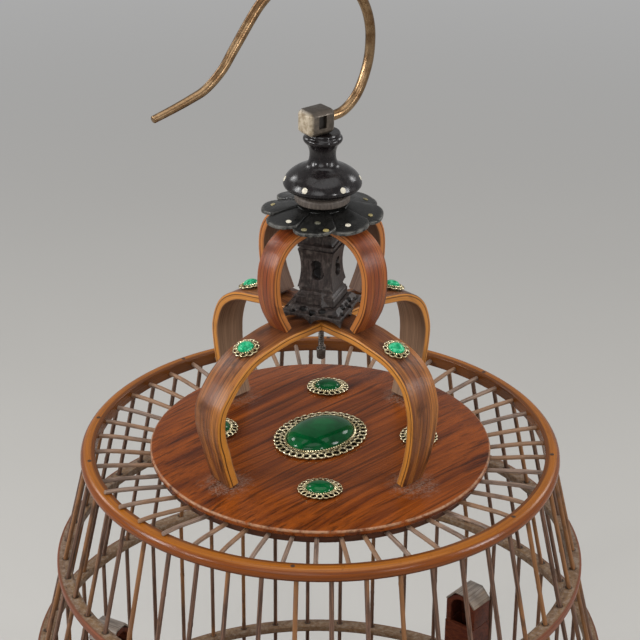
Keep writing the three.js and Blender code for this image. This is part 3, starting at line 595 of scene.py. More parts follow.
looks = {
    "ring": hoopLook("amberRing", "9a5c1c", "7e4218", "46220c", "6a3610", 128.9, 0.2, inward=3.6),
    "hoop": hoopLook("weatheredHoop", "705a4a", "7a4228", "3c2c22", "8e6c40", 144.9, 0.42, 141.4,
                     worn="96887a"),
    "wideHoop": hoopLook("weatheredWideHoop", "6c5646", "704028", "382a20", "8a683c", 159.4, 0.42, 156.5,
                         worn="8e8070"),
    # painted shade: the hub's colours are darkened for the shade under the disc
    "hub": hoopLook("hubHoopInShade", "4c2a18", "4a2612", "26140a", "5c3a1e", 88.5, 0.5),
    "peg": caneLook("ringPeg", "2a1a10", "4a2f1c", "5a3a22", 0.3),
    "bars": caneLook("wallBamboo", "3a2920", "7c5c4a", "8e6036", 0.28),
    "spokes": caneLook("spokeBamboo", "54443a", "988070", "8a6648", 0.35),
    "bow": bentLook("bowBamboo", "744428", "a4662e", "bc7c34", "8a6c54", "2e180c", bows),
    "arch": bentLook("archBamboo", "803e20", "9a5424", "ac6a32", "70523e", "34160a", arches),
    "disc": boardLook("rosewoodDisc", "5a280d", "864213", "160803", -45, dustAndRimHighlight=True, gloss=0.24),
    # painted shade: these colours are darkened for the shade the feeder hoods sit in
    "rosewood": boardLook("rosewoodInShade", "482018", "60301e", "200e09", 20, scale=2, gloss=0.4),
    "tray": boardLook("trayBoard", "5e3a22", "7c5230", "2c190e", 90, scale=1.3, gloss=0.45),
    "boards": boardLook("plainBamboo", "8a6a4a", "a98860", "54402e", 0, scale=2.4, gloss=0.5),
    "perch": caneLook("perchWood", "3a2418", "6a4228", "84552e", 0.3),
    "slats": caneLook("slatBamboo", "5e544c", "958a80", "8a745c", 0.25),
    "ebony": ebonyLook("polishedEbony", "100c0d", "201a1a", 0.2, pores=0.01),
    "petals": ebonyLook("satinEbony", "0e0e0d", "201f1d", 0.3),
    "carved": ebonyLook("carvedEbony", "2a2422", "4c413d", 0.34, carved=True),
    "collar": ebonyLook("collarWood", "4c443e", "6a6058", 0.5, carved=True),
    "bone": boneLook("boneDots"),
    "brass": metalLook("agedBrass", "94795a", "bca684", "6a4e34", 0.3, 0.25),
    "block": blockLook("wornLitAndShadedBlock"),
    "iron": metalLook("darkIron", "6c655f", "948c84", "443f3b", 0.42),
    "filigree": metalLook("antiqueGilt", "d2c6a2", "fff6dc", "a0926c", 0.24, 0.7, 0.85),
    # painted shade: the gilt darkened to the shade seen through the gaps in the wirework
    "recess": metalLook("gapShadeGilt", "2a251c", "4a4232", "17140f", 0.5, 0.3),
    "jade": jadeLook("deepJade", "044c25", "03381a", "086432", 0.04),
    "brightJade": jadeLook("mottledJade", "129a66", "0a6a45", "58c898", 0.35),
}
print("finishes made")

# Bamboo wall: hoops, bars and spokes
ringLow, ringTop = low("crown_ring"), high("crown_ring")
hoopMid = {name: low(name) + wall["hoopHeight"] / 2 for name in ("hoop_2", "hoop_3", "hoop_4")}
azimuths = [(wall["turn"] + i * pitch + 180) % 360 - 180 for i in range(wall["count"])]
door = {"bars": 5, "middle": wall["turn"] - pitch / 2, "sag": 3, "railHeight": 6, "railWidth": 5,
        "railSteps": 24}


def inDoorway(azimuth):
    return abs(azimuth - door["middle"]) < (door["bars"] / 2 - 0.25) * pitch


def barAxis(height):  # a bar's distance from Z
    shoulder = hoopMid["hoop_2"]
    if height <= hoopMid["hoop_3"]:
        return wall["wallRadius"]
    if height <= shoulder:
        share = (height - hoopMid["hoop_3"]) / (shoulder - hoopMid["hoop_3"])
        return between(wall["wallRadius"], wall["shoulderRadius"], share)
    share = (height - shoulder) / ((ringTop + ringLow) / 2 - shoulder)
    return between(wall["shoulderRadius"], wall["crownRadius"], share)


def addHoop(shape, middle, width, base, height, soft):
    inner, outer, top = middle - width / 2, middle + width / 2, base + height
    corners = [(inner, base, soft), (outer, base, soft), (outer, top, soft), (inner, top, soft)]
    turned(shape, rounded(corners), wall["hoopSteps"])


def addCane(shape, azimuth, start, end, axis=barAxis):  # one round bar with knots
    tint, length = chance.random(), end - start
    count = max(2, round(length / wall["step"]))
    heights = [between(start, end, i / count) for i in range(count + 1)]
    knots = [chance.uniform(start, end) for _ in range(round(length / wall["knotEvery"]))]
    for knot in knots:
        if start + wall["knotMargin"] < knot < end - wall["knotMargin"]:
            heights += [knot + step for step in wall["knotSteps"]]
    heights.sort()
    bend = chance.uniform(-wall["sway"], wall["sway"])
    points = [Vector((axis(height) + bend * math.sin(math.pi * (height - start) / length), 0, height))
              for height in heights]

    def swell(i):
        grow = 1 + wall["knotGrowth"] * any(abs(heights[i] - knot) < 1 for knot in knots)
        return stretched(grow, grow)

    part = newShape()
    drawn(part, roundFace(part, wall["barRadius"], wall["sides"]), points, tint=tint, change=swell)
    poured(shape, part, facing(azimuth), slot=1)


ring = {"width": 8.1, "soft": (0.6, 2.8, 4.1, 0.9), "steps": 200, "pegRadius": 1.2, "pegDepth": 2,
        "pegRise": 0.12, "pegInset": 0.6, "pegs": (-101, -79, -6, 52, 84, 131, 178, -140)}
spokes = {"turn": -0.9, "hubRadius": 86.5, "hubWidth": 7, "hubSoft": 0.8, "drop": 4, "points": 8, "soft": 0.3,
          "heightPlay": 0.5, "turnPlay": 0.25, "tip": [(-8, 0, 0), (0.6, 0, 0)],
          # those whose tips lie on the ring instead of in it
          "perched": range(-8, -4), "perchedTip": [(-6, 1.6, 3.6), (4.2, 3, 5.4)]}


def makeRing():
    shape = newShape()
    inner, outer = wall["crownRadius"] - ring["width"] / 2, wall["crownRadius"] + ring["width"] / 2
    corners = [(inner, ringLow), (outer, ringLow), (outer, ringTop), (inner, ringTop)]
    turned(shape, rounded([(*corner, soft) for corner, soft in zip(corners, ring["soft"])], 8), ring["steps"])
    for azimuth in ring["pegs"]:  # driven into the ring's top
        part = newShape()
        drawn(part, roundFace(part, ring["pegRadius"], 12),
              [Vector((0, 0, height)) for height in (-ring["pegDepth"], ring["pegRise"])])
        softened(part, 0.12, 1)
        place = facing(azimuth) @ moved(wall["crownRadius"] - ring["pegInset"], 0, ringTop)
        poured(shape, part, place, slot=1)
    dressed("crownRing", "crown_ring", shape, "ring", "peg")


def makeHoop(name, node, radius, width, height, soft, *finishes):
    shape = newShape()
    addHoop(shape, radius, width, low(node), height, soft)
    if "bars" in finishes:  # the short bars over the doorway
        for azimuth in filter(inDoorway, azimuths):
            addCane(shape, azimuth, hoopMid[node], ringTop - wall["tipInset"])
    dressed(name, node, shape, *finishes)


def makeBars():
    shape = newShape()
    sillLow = high("tray") + wall["sillGap"]
    addHoop(shape, wall["wallRadius"], wall["sillWidth"], sillLow, wall["sillHeight"], wall["sillSoft"])
    trayClear = reachOf("tray") + wall["barRadius"] + wall["trayGap"]
    for azimuth in azimuths:  # those over the tray end in the sill hoop
        aside = abs(math.sin(math.radians(azimuth))) * wall["wallRadius"]
        beside = abs(azimuth) > 90 or aside > trayClear
        foot = low("wall_bars") if beside else sillLow + wall["sillHeight"] / 2
        tip = hoopMid["hoop_4"] if inDoorway(azimuth) else ringTop - wall["tipInset"]
        addCane(shape, azimuth, foot, tip)
    dressed("wallBars", "wall_bars", shape, "wideHoop", "bars")


def makeSpokes():
    shape = newShape()
    base, crest = low("spoke_wheel"), low("crown_disc") - 0.3
    addHoop(shape, spokes["hubRadius"], spokes["hubWidth"], base, crest - base, spokes["hubSoft"])
    reach = Vector((wall["crownRadius"] - ring["width"] / 2, 0, ringTop - spokes["drop"]))
    root = Vector((spokes["hubRadius"], 0, (base + crest) / 2))
    for i in range(-wall["count"] // 2, wall["count"] // 2):
        play = chance.uniform(-spokes["heightPlay"], spokes["heightPlay"])
        perched = i in spokes["perched"]
        knots = [root] + [reach + Vector(step) for step in spokes["perchedTip" if perched else "tip"]]
        if not perched:
            knots[-1].z += play
        part = newShape()
        drawn(part, roundFace(part, wall["barRadius"], wall["sides"]), smoothCurve(knots, spokes["points"]),
              tint=chance.random())
        softened(part, spokes["soft"], 1, 60)
        azimuth = spokes["turn"] + i * pitch + chance.uniform(-spokes["turnPlay"], spokes["turnPlay"])
        poured(shape, part, facing(azimuth), slot=1)
    dressed("spokeWheel", "spoke_wheel", shape, "hub", "spokes")


makeRing()
hoopSize = (wall["hoopWidth"], wall["hoopHeight"], wall["hoopSoft"])
makeHoop("shoulderHoop", "hoop_2", wall["shoulderRadius"], *hoopSize, "hoop")
makeHoop("wideHoop", "hoop_3", wall["wallRadius"], *hoopSize, "wideHoop", "bars")
makeHoop("lowerHoop", "hoop_4", wall["wallRadius"], *hoopSize, "wideHoop")
makeHoop("baseHoop", "base_hoop", wall["wallRadius"], wall["baseWidth"], high("base_hoop") - low("base_hoop"),
         wall["baseSoft"], "wideHoop")
makeBars()
makeSpokes()
print("wall made")

# Crown: disc, bows, arches
bowFoot = low("lower_bow_a")
bowTop = bowFoot + bows["outline"][-1][1]
evenLeg = {"width": bows["footWidth"], "bulge": 0, "out": 0, "aside": 0, "turn": 0, "thicker": 0}
frontLeftLeg = {"width": 17.5, "bulge": 4.2, "out": 2.9, "aside": -2.6, "turn": -7, "thicker": 0.3}
stray = {"bulgeHeight": 66, "start": 64, "length": 42}  # where a hand-bent leg leaves the others' line


def makeDisc():
    shape = newShape()
    base = low("crown_disc")
    rim = base + disc["thickness"]
    crest = []
    for i in range(disc["crestSteps"] + 1):
        share = i / disc["crestSteps"]
        radius = between(disc["radius"] - disc["lip"], disc["flatRadius"], share)
        crest.append((radius, between(rim, discTop, math.sin(share * math.pi / 2))))
    outer = disc["radius"]
    edge = rounded([(0, base, 0), (outer, base, disc["lowerLip"]), (outer, rim, disc["lip"])])
    turned(shape, edge[:-1] + crest + [(0, discTop)], disc["steps"], closed=False)
    dressed("crownDisc", "crown_disc", shape, "disc")


def stripFace(shape, strip):  # a strip's section: outer face on the path, thickness inside
    half, depth = strip["width"] / 2, -strip["thickness"]
    corners = [(depth, -half, 0.5), (0, -half, 0.9), (0, half, 0.9), (depth, half, 0.5)]
    return flatFace(shape, rounded(corners, 3))


def bowPoints(count):
    right = [(radius, 0, bowFoot + height) for radius, height in bows["outline"]]
    left = [(-radius, 0, height) for radius, _, height in reversed(right[:-1])]
    return smoothCurve(right + left, count)


def leaving(point):  # how far a point of the leg at +X has left the mirror image of the others, from 0 to 1
    return eased((stray["start"] - point.z + bowFoot) / stray["length"]) if point.x > 0 else 0


def makeBow(name, azimuth, over, leg):  # leg is the one at +X
    points = bowPoints(bows["points"])
    for point in points:
        share = max(0, 1 - (point.z - bowFoot) / stray["bulgeHeight"])
        if point.x > 0 and share > 0:
            swell = math.sin(math.pi * (0.2 + 0.8 * min(1, share * 1.25 + 0.15)))
            point.x += leg["bulge"] * swell * min(1, share * 4)
        leave = leaving(point)
        point.x += leg["out"] * leave
        point.y += leg["aside"] * leave
    lapHalf = bows["width"] / 2 + bows["lapGap"]
    lapped = []  # with a point on each side of the halved joint's shoulders
    for a, b in zip(points, points[1:]):
        lapped.append(a)
        for edge in (lapHalf, -lapHalf):
            if (a.x - edge) * (b.x - edge) < 0 and a.z > bowTop - 5:
                for step in (-bows["lapStep"], bows["lapStep"]):
                    lapped.append(a.lerp(b, (a.x - edge + step) / (a.x - b.x)))
    lapped.append(points[-1])

    def section(i):
        point = lapped[i]
        leave = leaving(point)
        foot = leg["width"] if point.x > 0 else bows["footWidth"]
        wide = between(foot / bows["width"], 1, min(1, (point.z - bowFoot) / bows["taper"]))
        change = rotated(leg["turn"] * leave) @ stretched(1 + leg["thicker"] * leave, wide)
        if abs(point.x) < lapHalf:
            change = change @ moved(0 if over else -bows["thickness"] / 2, 0, 0) @ stretched(0.495)
        return change

    shape = newShape()
    drawn(shape, stripFace(shape, bows), lapped, change=section)
    dressed(name, name, shape, "bow", place=facing(azimuth))


def makeArch(name, azimuth, width):
    shape = newShape()
    foot = bowTop + arches["gap"]
    outline = [(radius, 0, foot + height) for radius, height in arches["outline"]]
    points = smoothCurve(outline, arches["points"])
    drawn(shape, stripFace(shape, arches), points, change=lambda i: stretched(1, width / arches["width"]))
    dressed(name, name, shape, "arch", place=facing(azimuth))


makeDisc()
makeBow("lower_bow_a", 45, True, evenLeg)
makeBow("lower_bow_b", -45, False, frontLeftLeg)
for name, azimuth in arches["azimuths"].items():
    makeArch(name, azimuth, arches["narrow"] if name == "arch_front_left" else arches["width"])
print("disc, bows and arches made")

# Post stack and finial
finial = {"height": 33, "neck": 8.5, "points": 100, "steps": 96, "dots": 6, "dotTurn": -27.5,
          "dotRadius": 1.7, "dotRise": 7.3, "dotReach": 19.35, "dotLean": 64, "dotFlat": 0.3,
          "outline": [(12, 0), (12.8, 0.4), (15.2, 1.4), (17.6, 2.4), (19.4, 3.5), (20.3, 4.7), (20.2, 6),
                      (18.2, 9.4), (14.4, 12.4), (11, 14), (8.4, 15.7), (7.2, 17.9), (6.8, 20.9), (7.2, 24),
                      (8.3, 26.5), (9.7, 28), (10.2, 29.2), (9.9, 30.3), (9.1, 31), (9, 32.3)]}
collar = {"radius": 14.4, "soft": (0.8, 1.2), "steps": 96}
lotus = {"petals": 8, "turn": 35.5, "inner": 11, "outer": 31.8, "spread": 26.5, "thickness": 1.7,
         "droop": 4.6, "cup": 0.55, "lift": 1.5, "grid": 20, "rim": 0.14, "boss": (12.4, 13.5),
         "bossDrop": 0.6, "crestDrop": 1.6, "dotRadius": 1.3, "dotLean": 14, "dotFlat": 0.3,
         "dots": [(-42, 25.5, 1), (31, 25.5, 1), (-19, 28, 0.25), (4, 28.6, 0.55), (-6, 22, 0.05),
                  (72, 26, 0.5), (120, 26, 0.3), (165, 26, 0.8), (-150, 26, 0.3), (-100, 26, 0.6)]}


def makeFinial():
    base = low("finial")
    top = base + finial["height"]
    curve = smoothCurve([(radius, 0, base + rise) for radius, rise in finial["outline"]], finial["points"])
    shape = newShape()
    profile = [(bore, base)] + [(point.x, point.z) for point in curve] + [(finial["neck"], top), (bore, top)]
    turned(shape, profile, finial["steps"])
    lean = rotated(finial["dotLean"], "Y") @ stretched(1, 1, finial["dotFlat"])
    for i in range(finial["dots"]):
        place = facing(finial["dotTurn"] + 360 / finial["dots"] * i)
        place = place @ moved(finial["dotReach"], 0, base + finial["dotRise"])
        inlay(shape, finial["dotRadius"], 16, 1, place @ lean)
    dressed("finial", "finial", shape, "ebony", "bone", sharp=50)


def makeCollar():
    shape = newShape()
    base, top, radius = low("finial_collar"), high("finial_collar"), collar["radius"]
    lower, upper = collar["soft"]
    turned(shape, rounded([(bore, base, 0), (radius, base, lower), (radius, top, upper), (bore, top, 0)]),
           collar["steps"])
    dressed("finialCollar", "finial_collar", shape, "collar")


def petalHeight(out, across):  # out from 0 to 1 along a petal, across from -1 to 1
    rim = max(0, (out - 0.72) / 0.28)
    cup = across * across * lotus["cup"] * out
    drop = lotus["droop"] * out ** 1.35
    return high("lotus_plate") - lotus["crestDrop"] - drop + cup + 0.5 * rim * rim \
        + lotus["lift"] * across * between(0.25, 0.6, out)


def makeLotus():
    shape = newShape()
    base, crest = low("lotus_plate"), high("lotus_plate") - lotus["bossDrop"]
    lower, upper = lotus["boss"]
    corners = [(bore, base, 0), (lower, base, 0.5), (upper, crest - 1, 0.5), (bore, crest, 0)]
    turned(shape, rounded(corners), 64)
    petal = newShape()
    grid = bmesh.ops.create_grid(petal, x_segments=lotus["grid"], y_segments=lotus["grid"], size=1)
    for vert in grid["verts"]:
        out, across = (vert.co.x + 1) / 2, vert.co.y
        radius = between(lotus["inner"], lotus["outer"] * (1 - 0.17 * abs(across) ** 3), out)
        angle = math.radians(lotus["spread"] * across * between(1, 0.94, out))
        vert.co = (radius * math.cos(angle), radius * math.sin(angle), petalHeight(out, across))
        edge = max(out, abs(across) * between(0.6, 1, out))
        tinted(petal, max(0, (edge - 1 + lotus["rim"]) / lotus["rim"]), [vert])
    bmesh.ops.solidify(petal, geom=petal.faces[:], thickness=lotus["thickness"])
    softened(petal, 0.4, 2, 50)
    poured(shape, petal, *[facing(lotus["turn"] + i * 360 / lotus["petals"]) for i in range(lotus["petals"])])
    spacing = 360 / lotus["petals"]
    for azimuth, radius, tint in lotus["dots"]:
        out = (radius - lotus["inner"]) / (lotus["outer"] - lotus["inner"])
        across = ((azimuth - lotus["turn"] + spacing / 2) % spacing - spacing / 2) / lotus["spread"]
        lean = rotated(lotus["dotLean"], "Y") @ stretched(1, 1.25, lotus["dotFlat"])
        place = facing(azimuth) @ moved(radius, 0, petalHeight(out, across) + 0.1)
        inlay(shape, lotus["dotRadius"], 14, tint, place @ lean)
    dressed("lotusPlate", "lotus_plate", shape, "petals", "bone", sharp=50)


def fourSides(shape, wide, tall, spot):  # four carved faces, each a grid placed by spot(across, up), which also gives each point's painted shade
    side = newShape()
    grid = bmesh.ops.create_grid(side, x_segments=wide, y_segments=tall, size=1)
    for vert in grid["verts"]:
        across, out, height, dark = spot(vert.co.x, (vert.co.y + 1) / 2)
        vert.co = (out, across, height)
        tinted(side, dark, [vert])
    poured(shape, side, *[facing(post["turn"] + 45 + 90 * i) for i in range(4)])


def alongProfile(profile, share):  # a point on a polyline of (half side, height), by its length
    runs = [0]
    for a, b in zip(profile, profile[1:]):
        runs.append(runs[-1] + math.dist(a, b))
    want = share * runs[-1]
    for k, (a, b) in enumerate(zip(profile, profile[1:])):
        if want <= runs[k + 1] + 1e-9:
            part = (want - runs[k]) / (runs[k + 1] - runs[k])
            return between(a[0], b[0], part), between(a[1], b[1], part)
    return profile[-1]


def sunk(distance, radius, soft=0.3):  # 1 inside a round hollow, 0 outside
    return eased((radius + soft - distance) / (2 * soft))


def addCore(shape, profile):  # a plain square body behind the carved faces
    core = newShape()
    turned(core, profile, 4)
    poured(shape, core, facing(post["turn"]))


post = {"turn": 25, "plinthHeight": 8.6, "shaftHeight": 21.5, "shaft": 9.9, "waist": 8.5, "sharp": 35,
        "eyes": [(0.2, 13.1, 2.5, 2.2), (0.9, 8.2, 3.1, 2.6)],
        "foot": [(10.6, 0), (10.6, 3.4), (10.1, 3.8), (10.1, 4.6), (9, 5.4), (8.7, 6.6), (9.2, 7.2),
                 (9.2, 8.1), (9.6, 8.6)],
        "cap": [(8.9, 0.2), (8.9, 0.9), (9.9, 1.4), (9.9, 2.9), (8.9, 3.4), (8.2, 4.2), (8.2, 7.4), (8.6, 8)]}
plate = {"half": 16.8, "neck": 10.9, "lift": 3.4, "thickness": 1,
         "hollows": [(-5.2, 0.36, 1.9), (0, 0.42, 1.7), (5.2, 0.36, 1.9), (-10.4, 0.62, 1.3),
                     (10.4, 0.62, 1.3)]}


def makePost():
    base, top = low("post"), high("post")
    shaftLow = base + post["plinthHeight"]
    shaftTop = shaftLow + post["shaftHeight"]
    foot = [(half, base + rise) for half, rise in post["foot"]]
    cap = [(half, shaftTop + rise) for half, rise in post["cap"]] + [(post["cap"][-1][0], top)]

    def plain(profile):
        return lambda across, up: (alongProfile(profile, up)[0] * across, *alongProfile(profile, up), 0)

    def shaft(across, up):
        half = between(post["shaft"], post["waist"], math.sin(math.pi * up) ** 0.9)
        height = between(shaftLow, shaftTop, up)
        inward, dark = 0, 0
        for offset, rise, radius, depth in post["eyes"]:
            hollow = sunk(math.dist((half * across, height - shaftLow), (offset, rise)), radius)
            # painted shade: dark darkens the eyes' hollows
            inward, dark = max(inward, hollow * depth), max(dark, hollow)
        return half * across, half - inward, height, dark

    shape = newShape()
    fourSides(shape, 1, 72, plain(foot))
    fourSides(shape, 44, 52, shaft)
    fourSides(shape, 1, 72, plain(cap))
    welded(shape)
    bmesh.ops.holes_fill(shape, edges=[edge for edge in shape.edges if edge.is_boundary], sides=0)
    addCore(shape, [(bore, base + 0.02), (13.5, base + 0.02), (8.6, shaftLow + 1), (8.6, shaftTop),
                    (11.2, top - 0.02), (bore, top - 0.02)])
    dressed("post", "post", shape, "carved", sharp=post["sharp"])


def makePlate():
    base, top, half, neck = low("base_plate"), high("base_plate"), plate["half"], plate["neck"]

    def spot(across, up):
        lobe = abs(math.sin(math.pi * across * 1.02)) ** 0.7 * plate["lift"] * (abs(across) < 0.98)
        cusp = 0.9 * max(0, 1 - abs(across) * 9)
        profile = [(neck, top), (neck + 1.6, top - 0.4), (half - 2.2, top - 2.5), (half - 0.4, top - 3.1),
                   (half, top - 3.7), (half - 0.2, base + lobe - cusp)]
        out, height = alongProfile(profile, 1 - up)
        inward, dark = 0, 0
        for offset, share, radius in plate["hollows"]:
            hollow = sunk(math.hypot(out * across - offset, (share - (1 - up)) * 11), radius, 0.45)
            # painted shade: dark darkens the plate's hollows
            inward, dark = max(inward, hollow * 1.5), max(dark, hollow)
        return out * across, out - inward * 0.5, height - inward * 0.8, dark

    shape = newShape()
    fourSides(shape, 72, 40, spot)
    welded(shape)
    bmesh.ops.solidify(shape, geom=shape.faces[:], thickness=plate["thickness"])
    addCore(shape, [(bore, base + 3.6), (20, base + 3.6), (19.5, top - 4.6), (13.6, top - 1.8), (13.6, top),
                    (bore, top)])
    dressed("basePlate", "base_plate", shape, "carved", sharp=post["sharp"])


makeFinial()
makeCollar()
makeLotus()
makePost()
makePlate()
print("post stack and finial made")

# Hook, block and tie rod
rod = {"radius": 1.6, "tip": 1.1, "threadRoot": 1.36, "thread": 1.3, "steps": 24}
nuts = {"rodNut": ("rod_nut", [(1.9, 0, 0), (4.2, 0, 0), (4.2, 1, 0), (1.9, 1, 0)], 6),
        "rodEndNut": ("rod_end_nut", [(1.75, 0, 0), (2.3, 0, 0.5), (2.5, 1, 0.5), (1.75, 1, 0)], 32)}


def makeHook():
    base, rise, end = low("hook_block"), hook["rootRise"], hook["blockEnd"]
    knots = [(end - 0.4, rise), (end + 2.6, rise)] + [(x, rise + step) for x, step in hook["root"]]
    last = math.radians(hook["loopTurn"])
    for i in range(hook["loopPoints"] + 1):
        angle = last * i / hook["loopPoints"]
        knots.append((hook["loopOffset"] + hook["loopRadius"] * math.cos(angle),
                      hook["loopRise"] + hook["loopRadius"] * math.sin(angle)))
    along = Vector((-math.sin(last), math.cos(last)))
    leave = Vector(knots[-1])
    bend = leave + along * hook["tail"]
    knots += [leave + along * run for run in hook["tailKnots"]]
    knots += [bend + Vector(step) for step in hook["tip"]]

    def taper(i):
        share = max(0, (i / hook["points"] - hook["tipFrom"]) / (1 - hook["tipFrom"]))
        grow = between(1, hook["tipRadius"] / hook["radius"], share)
        return stretched(grow, grow)

    shape = newShape()
    drawn(shape, roundFace(shape, hook["radius"], hook["sides"]),
          smoothCurve([(x, 0, base + z) for x, z in knots], hook["points"]), change=taper)
    softened(shape, 0.7, 3, 60)
    dressed("hook", "hook", shape, "brass", place=facing(hook["turn"]))


def makeBlock():
    shape = newShape()
    base, top = low("hook_block"), high("hook_block")
    half = hook["blockWidth"] / 2
    block(shape, (hook["blockStart"], -half, base), (hook["blockEnd"], half, top))
    softened(shape, hook["blockSoft"], 1)
    softened(shape, 0.4, 2, 20)
    side = min(shape.faces, key=lambda face: face.calc_center_median().y)
    bmesh.ops.inset_region(shape, faces=[side], thickness=1)
    middle, (halfAlong, halfUp) = side.calc_center_median(), hook["recessHalf"]
    for vert in side.verts:  # the inset face becomes the recess
        corner = vert.co - middle
        vert.co.x = hook["blockStart"] + hook["recessMiddle"][0] + math.copysign(halfAlong, corner.x)
        vert.co.z = base + hook["recessMiddle"][1] + math.copysign(halfUp, corner.z)
    made = bmesh.ops.extrude_face_region(shape, geom=[side])
    floor = [each for each in made["geom"] if isinstance(each, bmesh.types.BMVert)]
    bmesh.ops.delete(shape, geom=[side], context="FACES_ONLY")
    bmesh.ops.translate(shape, vec=(0, hook["recessDepth"], 0), verts=floor)
    tinted(shape, 1, floor)
    dressed("hookBlock", "hook_block", shape, "block", place=facing(hook["turn"]), sharp=25)


def makeRod():
    shape = newShape()
    base, nut, top, radius = low("tie_rod"), low("rod_nut"), high("tie_rod"), rod["radius"]
    profile = [(0, base), (rod["tip"], base), (radius, base + 0.6)]
    turns = round((nut - base) / rod["thread"])
    for i in range(turns):  # the worn thread below the nut
        rise = between(base + 0.8, nut, i / turns)
        profile += [(radius, rise), (rod["threadRoot"], rise + rod["thread"] / 2)]
    turned(shape, profile + [(radius, nut), (radius, top), (0, top)], rod["steps"], closed=False)
    dressed("tieRod", "tie_rod", shape, "iron")


def makeNut(name, node, corners, sides):
    shape = newShape()
    profile = [(radius, high(node) if up else low(node), soft) for radius, up, soft in corners]
    turned(shape, rounded(profile), sides)
    if sides == 6:
        softened(shape, 0.3)
    dressed(name, node, shape, "iron")


makeHook()
makeBlock()
makeRod()
for name, nut in nuts.items():
    makeNut(name, *nut)
print("hook and tie rod made")

# Jewels
jewels = {
    "centre": {"setting": (57, 46.6), "stone": (42, 31.4), "dome": 8,
               "loops": 36, "rope": 84, "wire": 0.5, "inner": 36},
    "side": {"setting": (24, 21), "stone": (14.6, 12.2), "dome": 4.6,
             "loops": 20, "rope": 38, "wire": 0.36, "inner": 20},
    "shoulder": {"setting": (14.6, 14.6), "stone": (8.6, 8.6), "dome": 4,
                 "loops": 11, "rope": 24, "wire": 0.34, "inner": 0},
}
places = {"gap": 0.3, "centreTurn": 48, "sideRadius": 56.8, "shoulder": 121, "bowPoints": 400,
          # azimuth, and how far in from the radius
          "sides": {"front": (0, 0), "right": (90, 3.2), "back": (176, 0), "left": (-97, 0.8)}}


def addLoop(shape, wire, along, across, place):  # one flat ring of wire, along the rim and across the band
    part = newShape()
    circle = bmesh.ops.create_circle(part, radius=wire, segments=6)
    bmesh.ops.transform(part, matrix=moved(along, 0, 0) @ rotated(90, "X"), verts=circle["verts"])
    spun(part, part.edges[:] + part.verts[:], 12)
    tinted(part, 1)
    poured(shape, part, place @ stretched(across / along))


def ovalPlace(length, width, share, height, lean=0.0):  # evenly spread on an oval, X pointing outwards
    angle = 2 * math.pi * share
    place = moved(length / 2 * math.cos(angle), width / 2 * math.sin(angle), height)
    outwards = math.atan2(math.sin(angle) / width, math.cos(angle) / length)
    return place @ Matrix.Rotation(outwards, 4, "Z") @ Matrix.Rotation(lean, 4, "Y")


def settingShape(jewel):
    (length, width), (stoneLength, stoneWidth) = jewel["setting"], jewel["stone"]
    wire, loops, band = jewel["wire"], jewel["loops"], (length - stoneLength) / 2
    along = math.pi * (length + width) / 4 / loops * 0.98
    across = along * (0.9 if jewel["inner"] else 1)
    shape, backing = newShape(), newShape()
    turned(backing, [(1.3, 0.15), (1.3, 0.6), (0.7, 0.6), (0.7, 0.15)], 64)  # dark plate under the wirework, painted shade in the gaps between the wires
    for vert in backing.verts:
        angle = math.atan2(vert.co.y, vert.co.x)
        outwards = (vert.co.xy.length - 1) / 0.3 * (band / 2 - 1.2)
        vert.co.x = ((length + stoneLength) / 4 + outwards) * math.cos(angle)
        vert.co.y = ((width + stoneWidth) / 4 + outwards) * math.sin(angle)
    poured(shape, backing, slot=1)
    edge = 2 * (across + wire)
    for i in range(loops):
        addLoop(shape, wire, along, across, ovalPlace(length - edge, width - edge, i / loops, 1.15, 0.12))
    edge += 2.5 * across
    for i in range(jewel["inner"]):
        place = ovalPlace(length - edge, width - edge, (i + 0.5) / jewel["inner"], 1.35, -0.1)
        addLoop(shape, wire * 0.85, along * 0.72, across * 0.75, place)
    size = math.pi * (stoneLength + stoneWidth) / 4 / jewel["rope"]
    twist = Matrix.Rotation(0.7, 4, "Z") @ stretched(size * 1.5, size * 0.8, size)
    for i in range(jewel["rope"]):
        part = newShape()
        bmesh.ops.create_icosphere(part, subdivisions=1, radius=1)
        tinted(part, 0.8)
        poured(shape, part, ovalPlace(stoneLength + 1.3, stoneWidth + 1.3, i / jewel["rope"], 1.7) @ twist)
    return shape


def stoneShape(jewel):
    length, width = jewel["stone"]
    shape = newShape()
    profile = [(0, 0.3), (length / 2 * 0.97, 0.3)]
    for i in range(16):
        angle = math.pi / 2 * i / 16
        profile.append((length / 2 * math.cos(angle) ** 0.85, 1 + (jewel["dome"] - 1) * math.sin(angle)))
    turned(shape, profile + [(0, jewel["dome"])], 64, closed=False)
    bmesh.ops.scale(shape, vec=(1, width / length, 1), verts=shape.verts)
    return shape


def makeJewel(name, kind, place, finish):
    setting = settingShape(jewels[kind])
    dressed(f"{name}Setting", f"{name}_setting", setting, "filigree", "recess", place=place)
    dressed(f"{name}Stone", f"{name}_stone", stoneShape(jewels[kind]), finish, place=place)


seat = discTop + places["gap"]
makeJewel("centre", "centre", moved(0, 0, seat) @ rotated(places["centreTurn"]), "jade")
for name, (azimuth, inwards) in places["sides"].items():
    makeJewel(name, "side", rotated(azimuth) @ moved(0, inwards - places["sideRadius"], seat), "jade")
path, index = bowPoints(places["bowPoints"]), places["shoulder"]
slope = (path[index + 1] - path[index - 1]).normalized()
lean = math.atan2(slope.z, -slope.x)
spot = path[index] + Vector((math.sin(lean), 0, math.cos(lean))) * places["gap"]
for name, azimuth in arches["azimuths"].items():
    place = facing(azimuth) @ moved(*spot) @ Matrix.Rotation(lean, 4, "Y")
    makeJewel(name.replace("arch", "shoulder"), "shoulder", place, "brightJade")
print("jewels made")

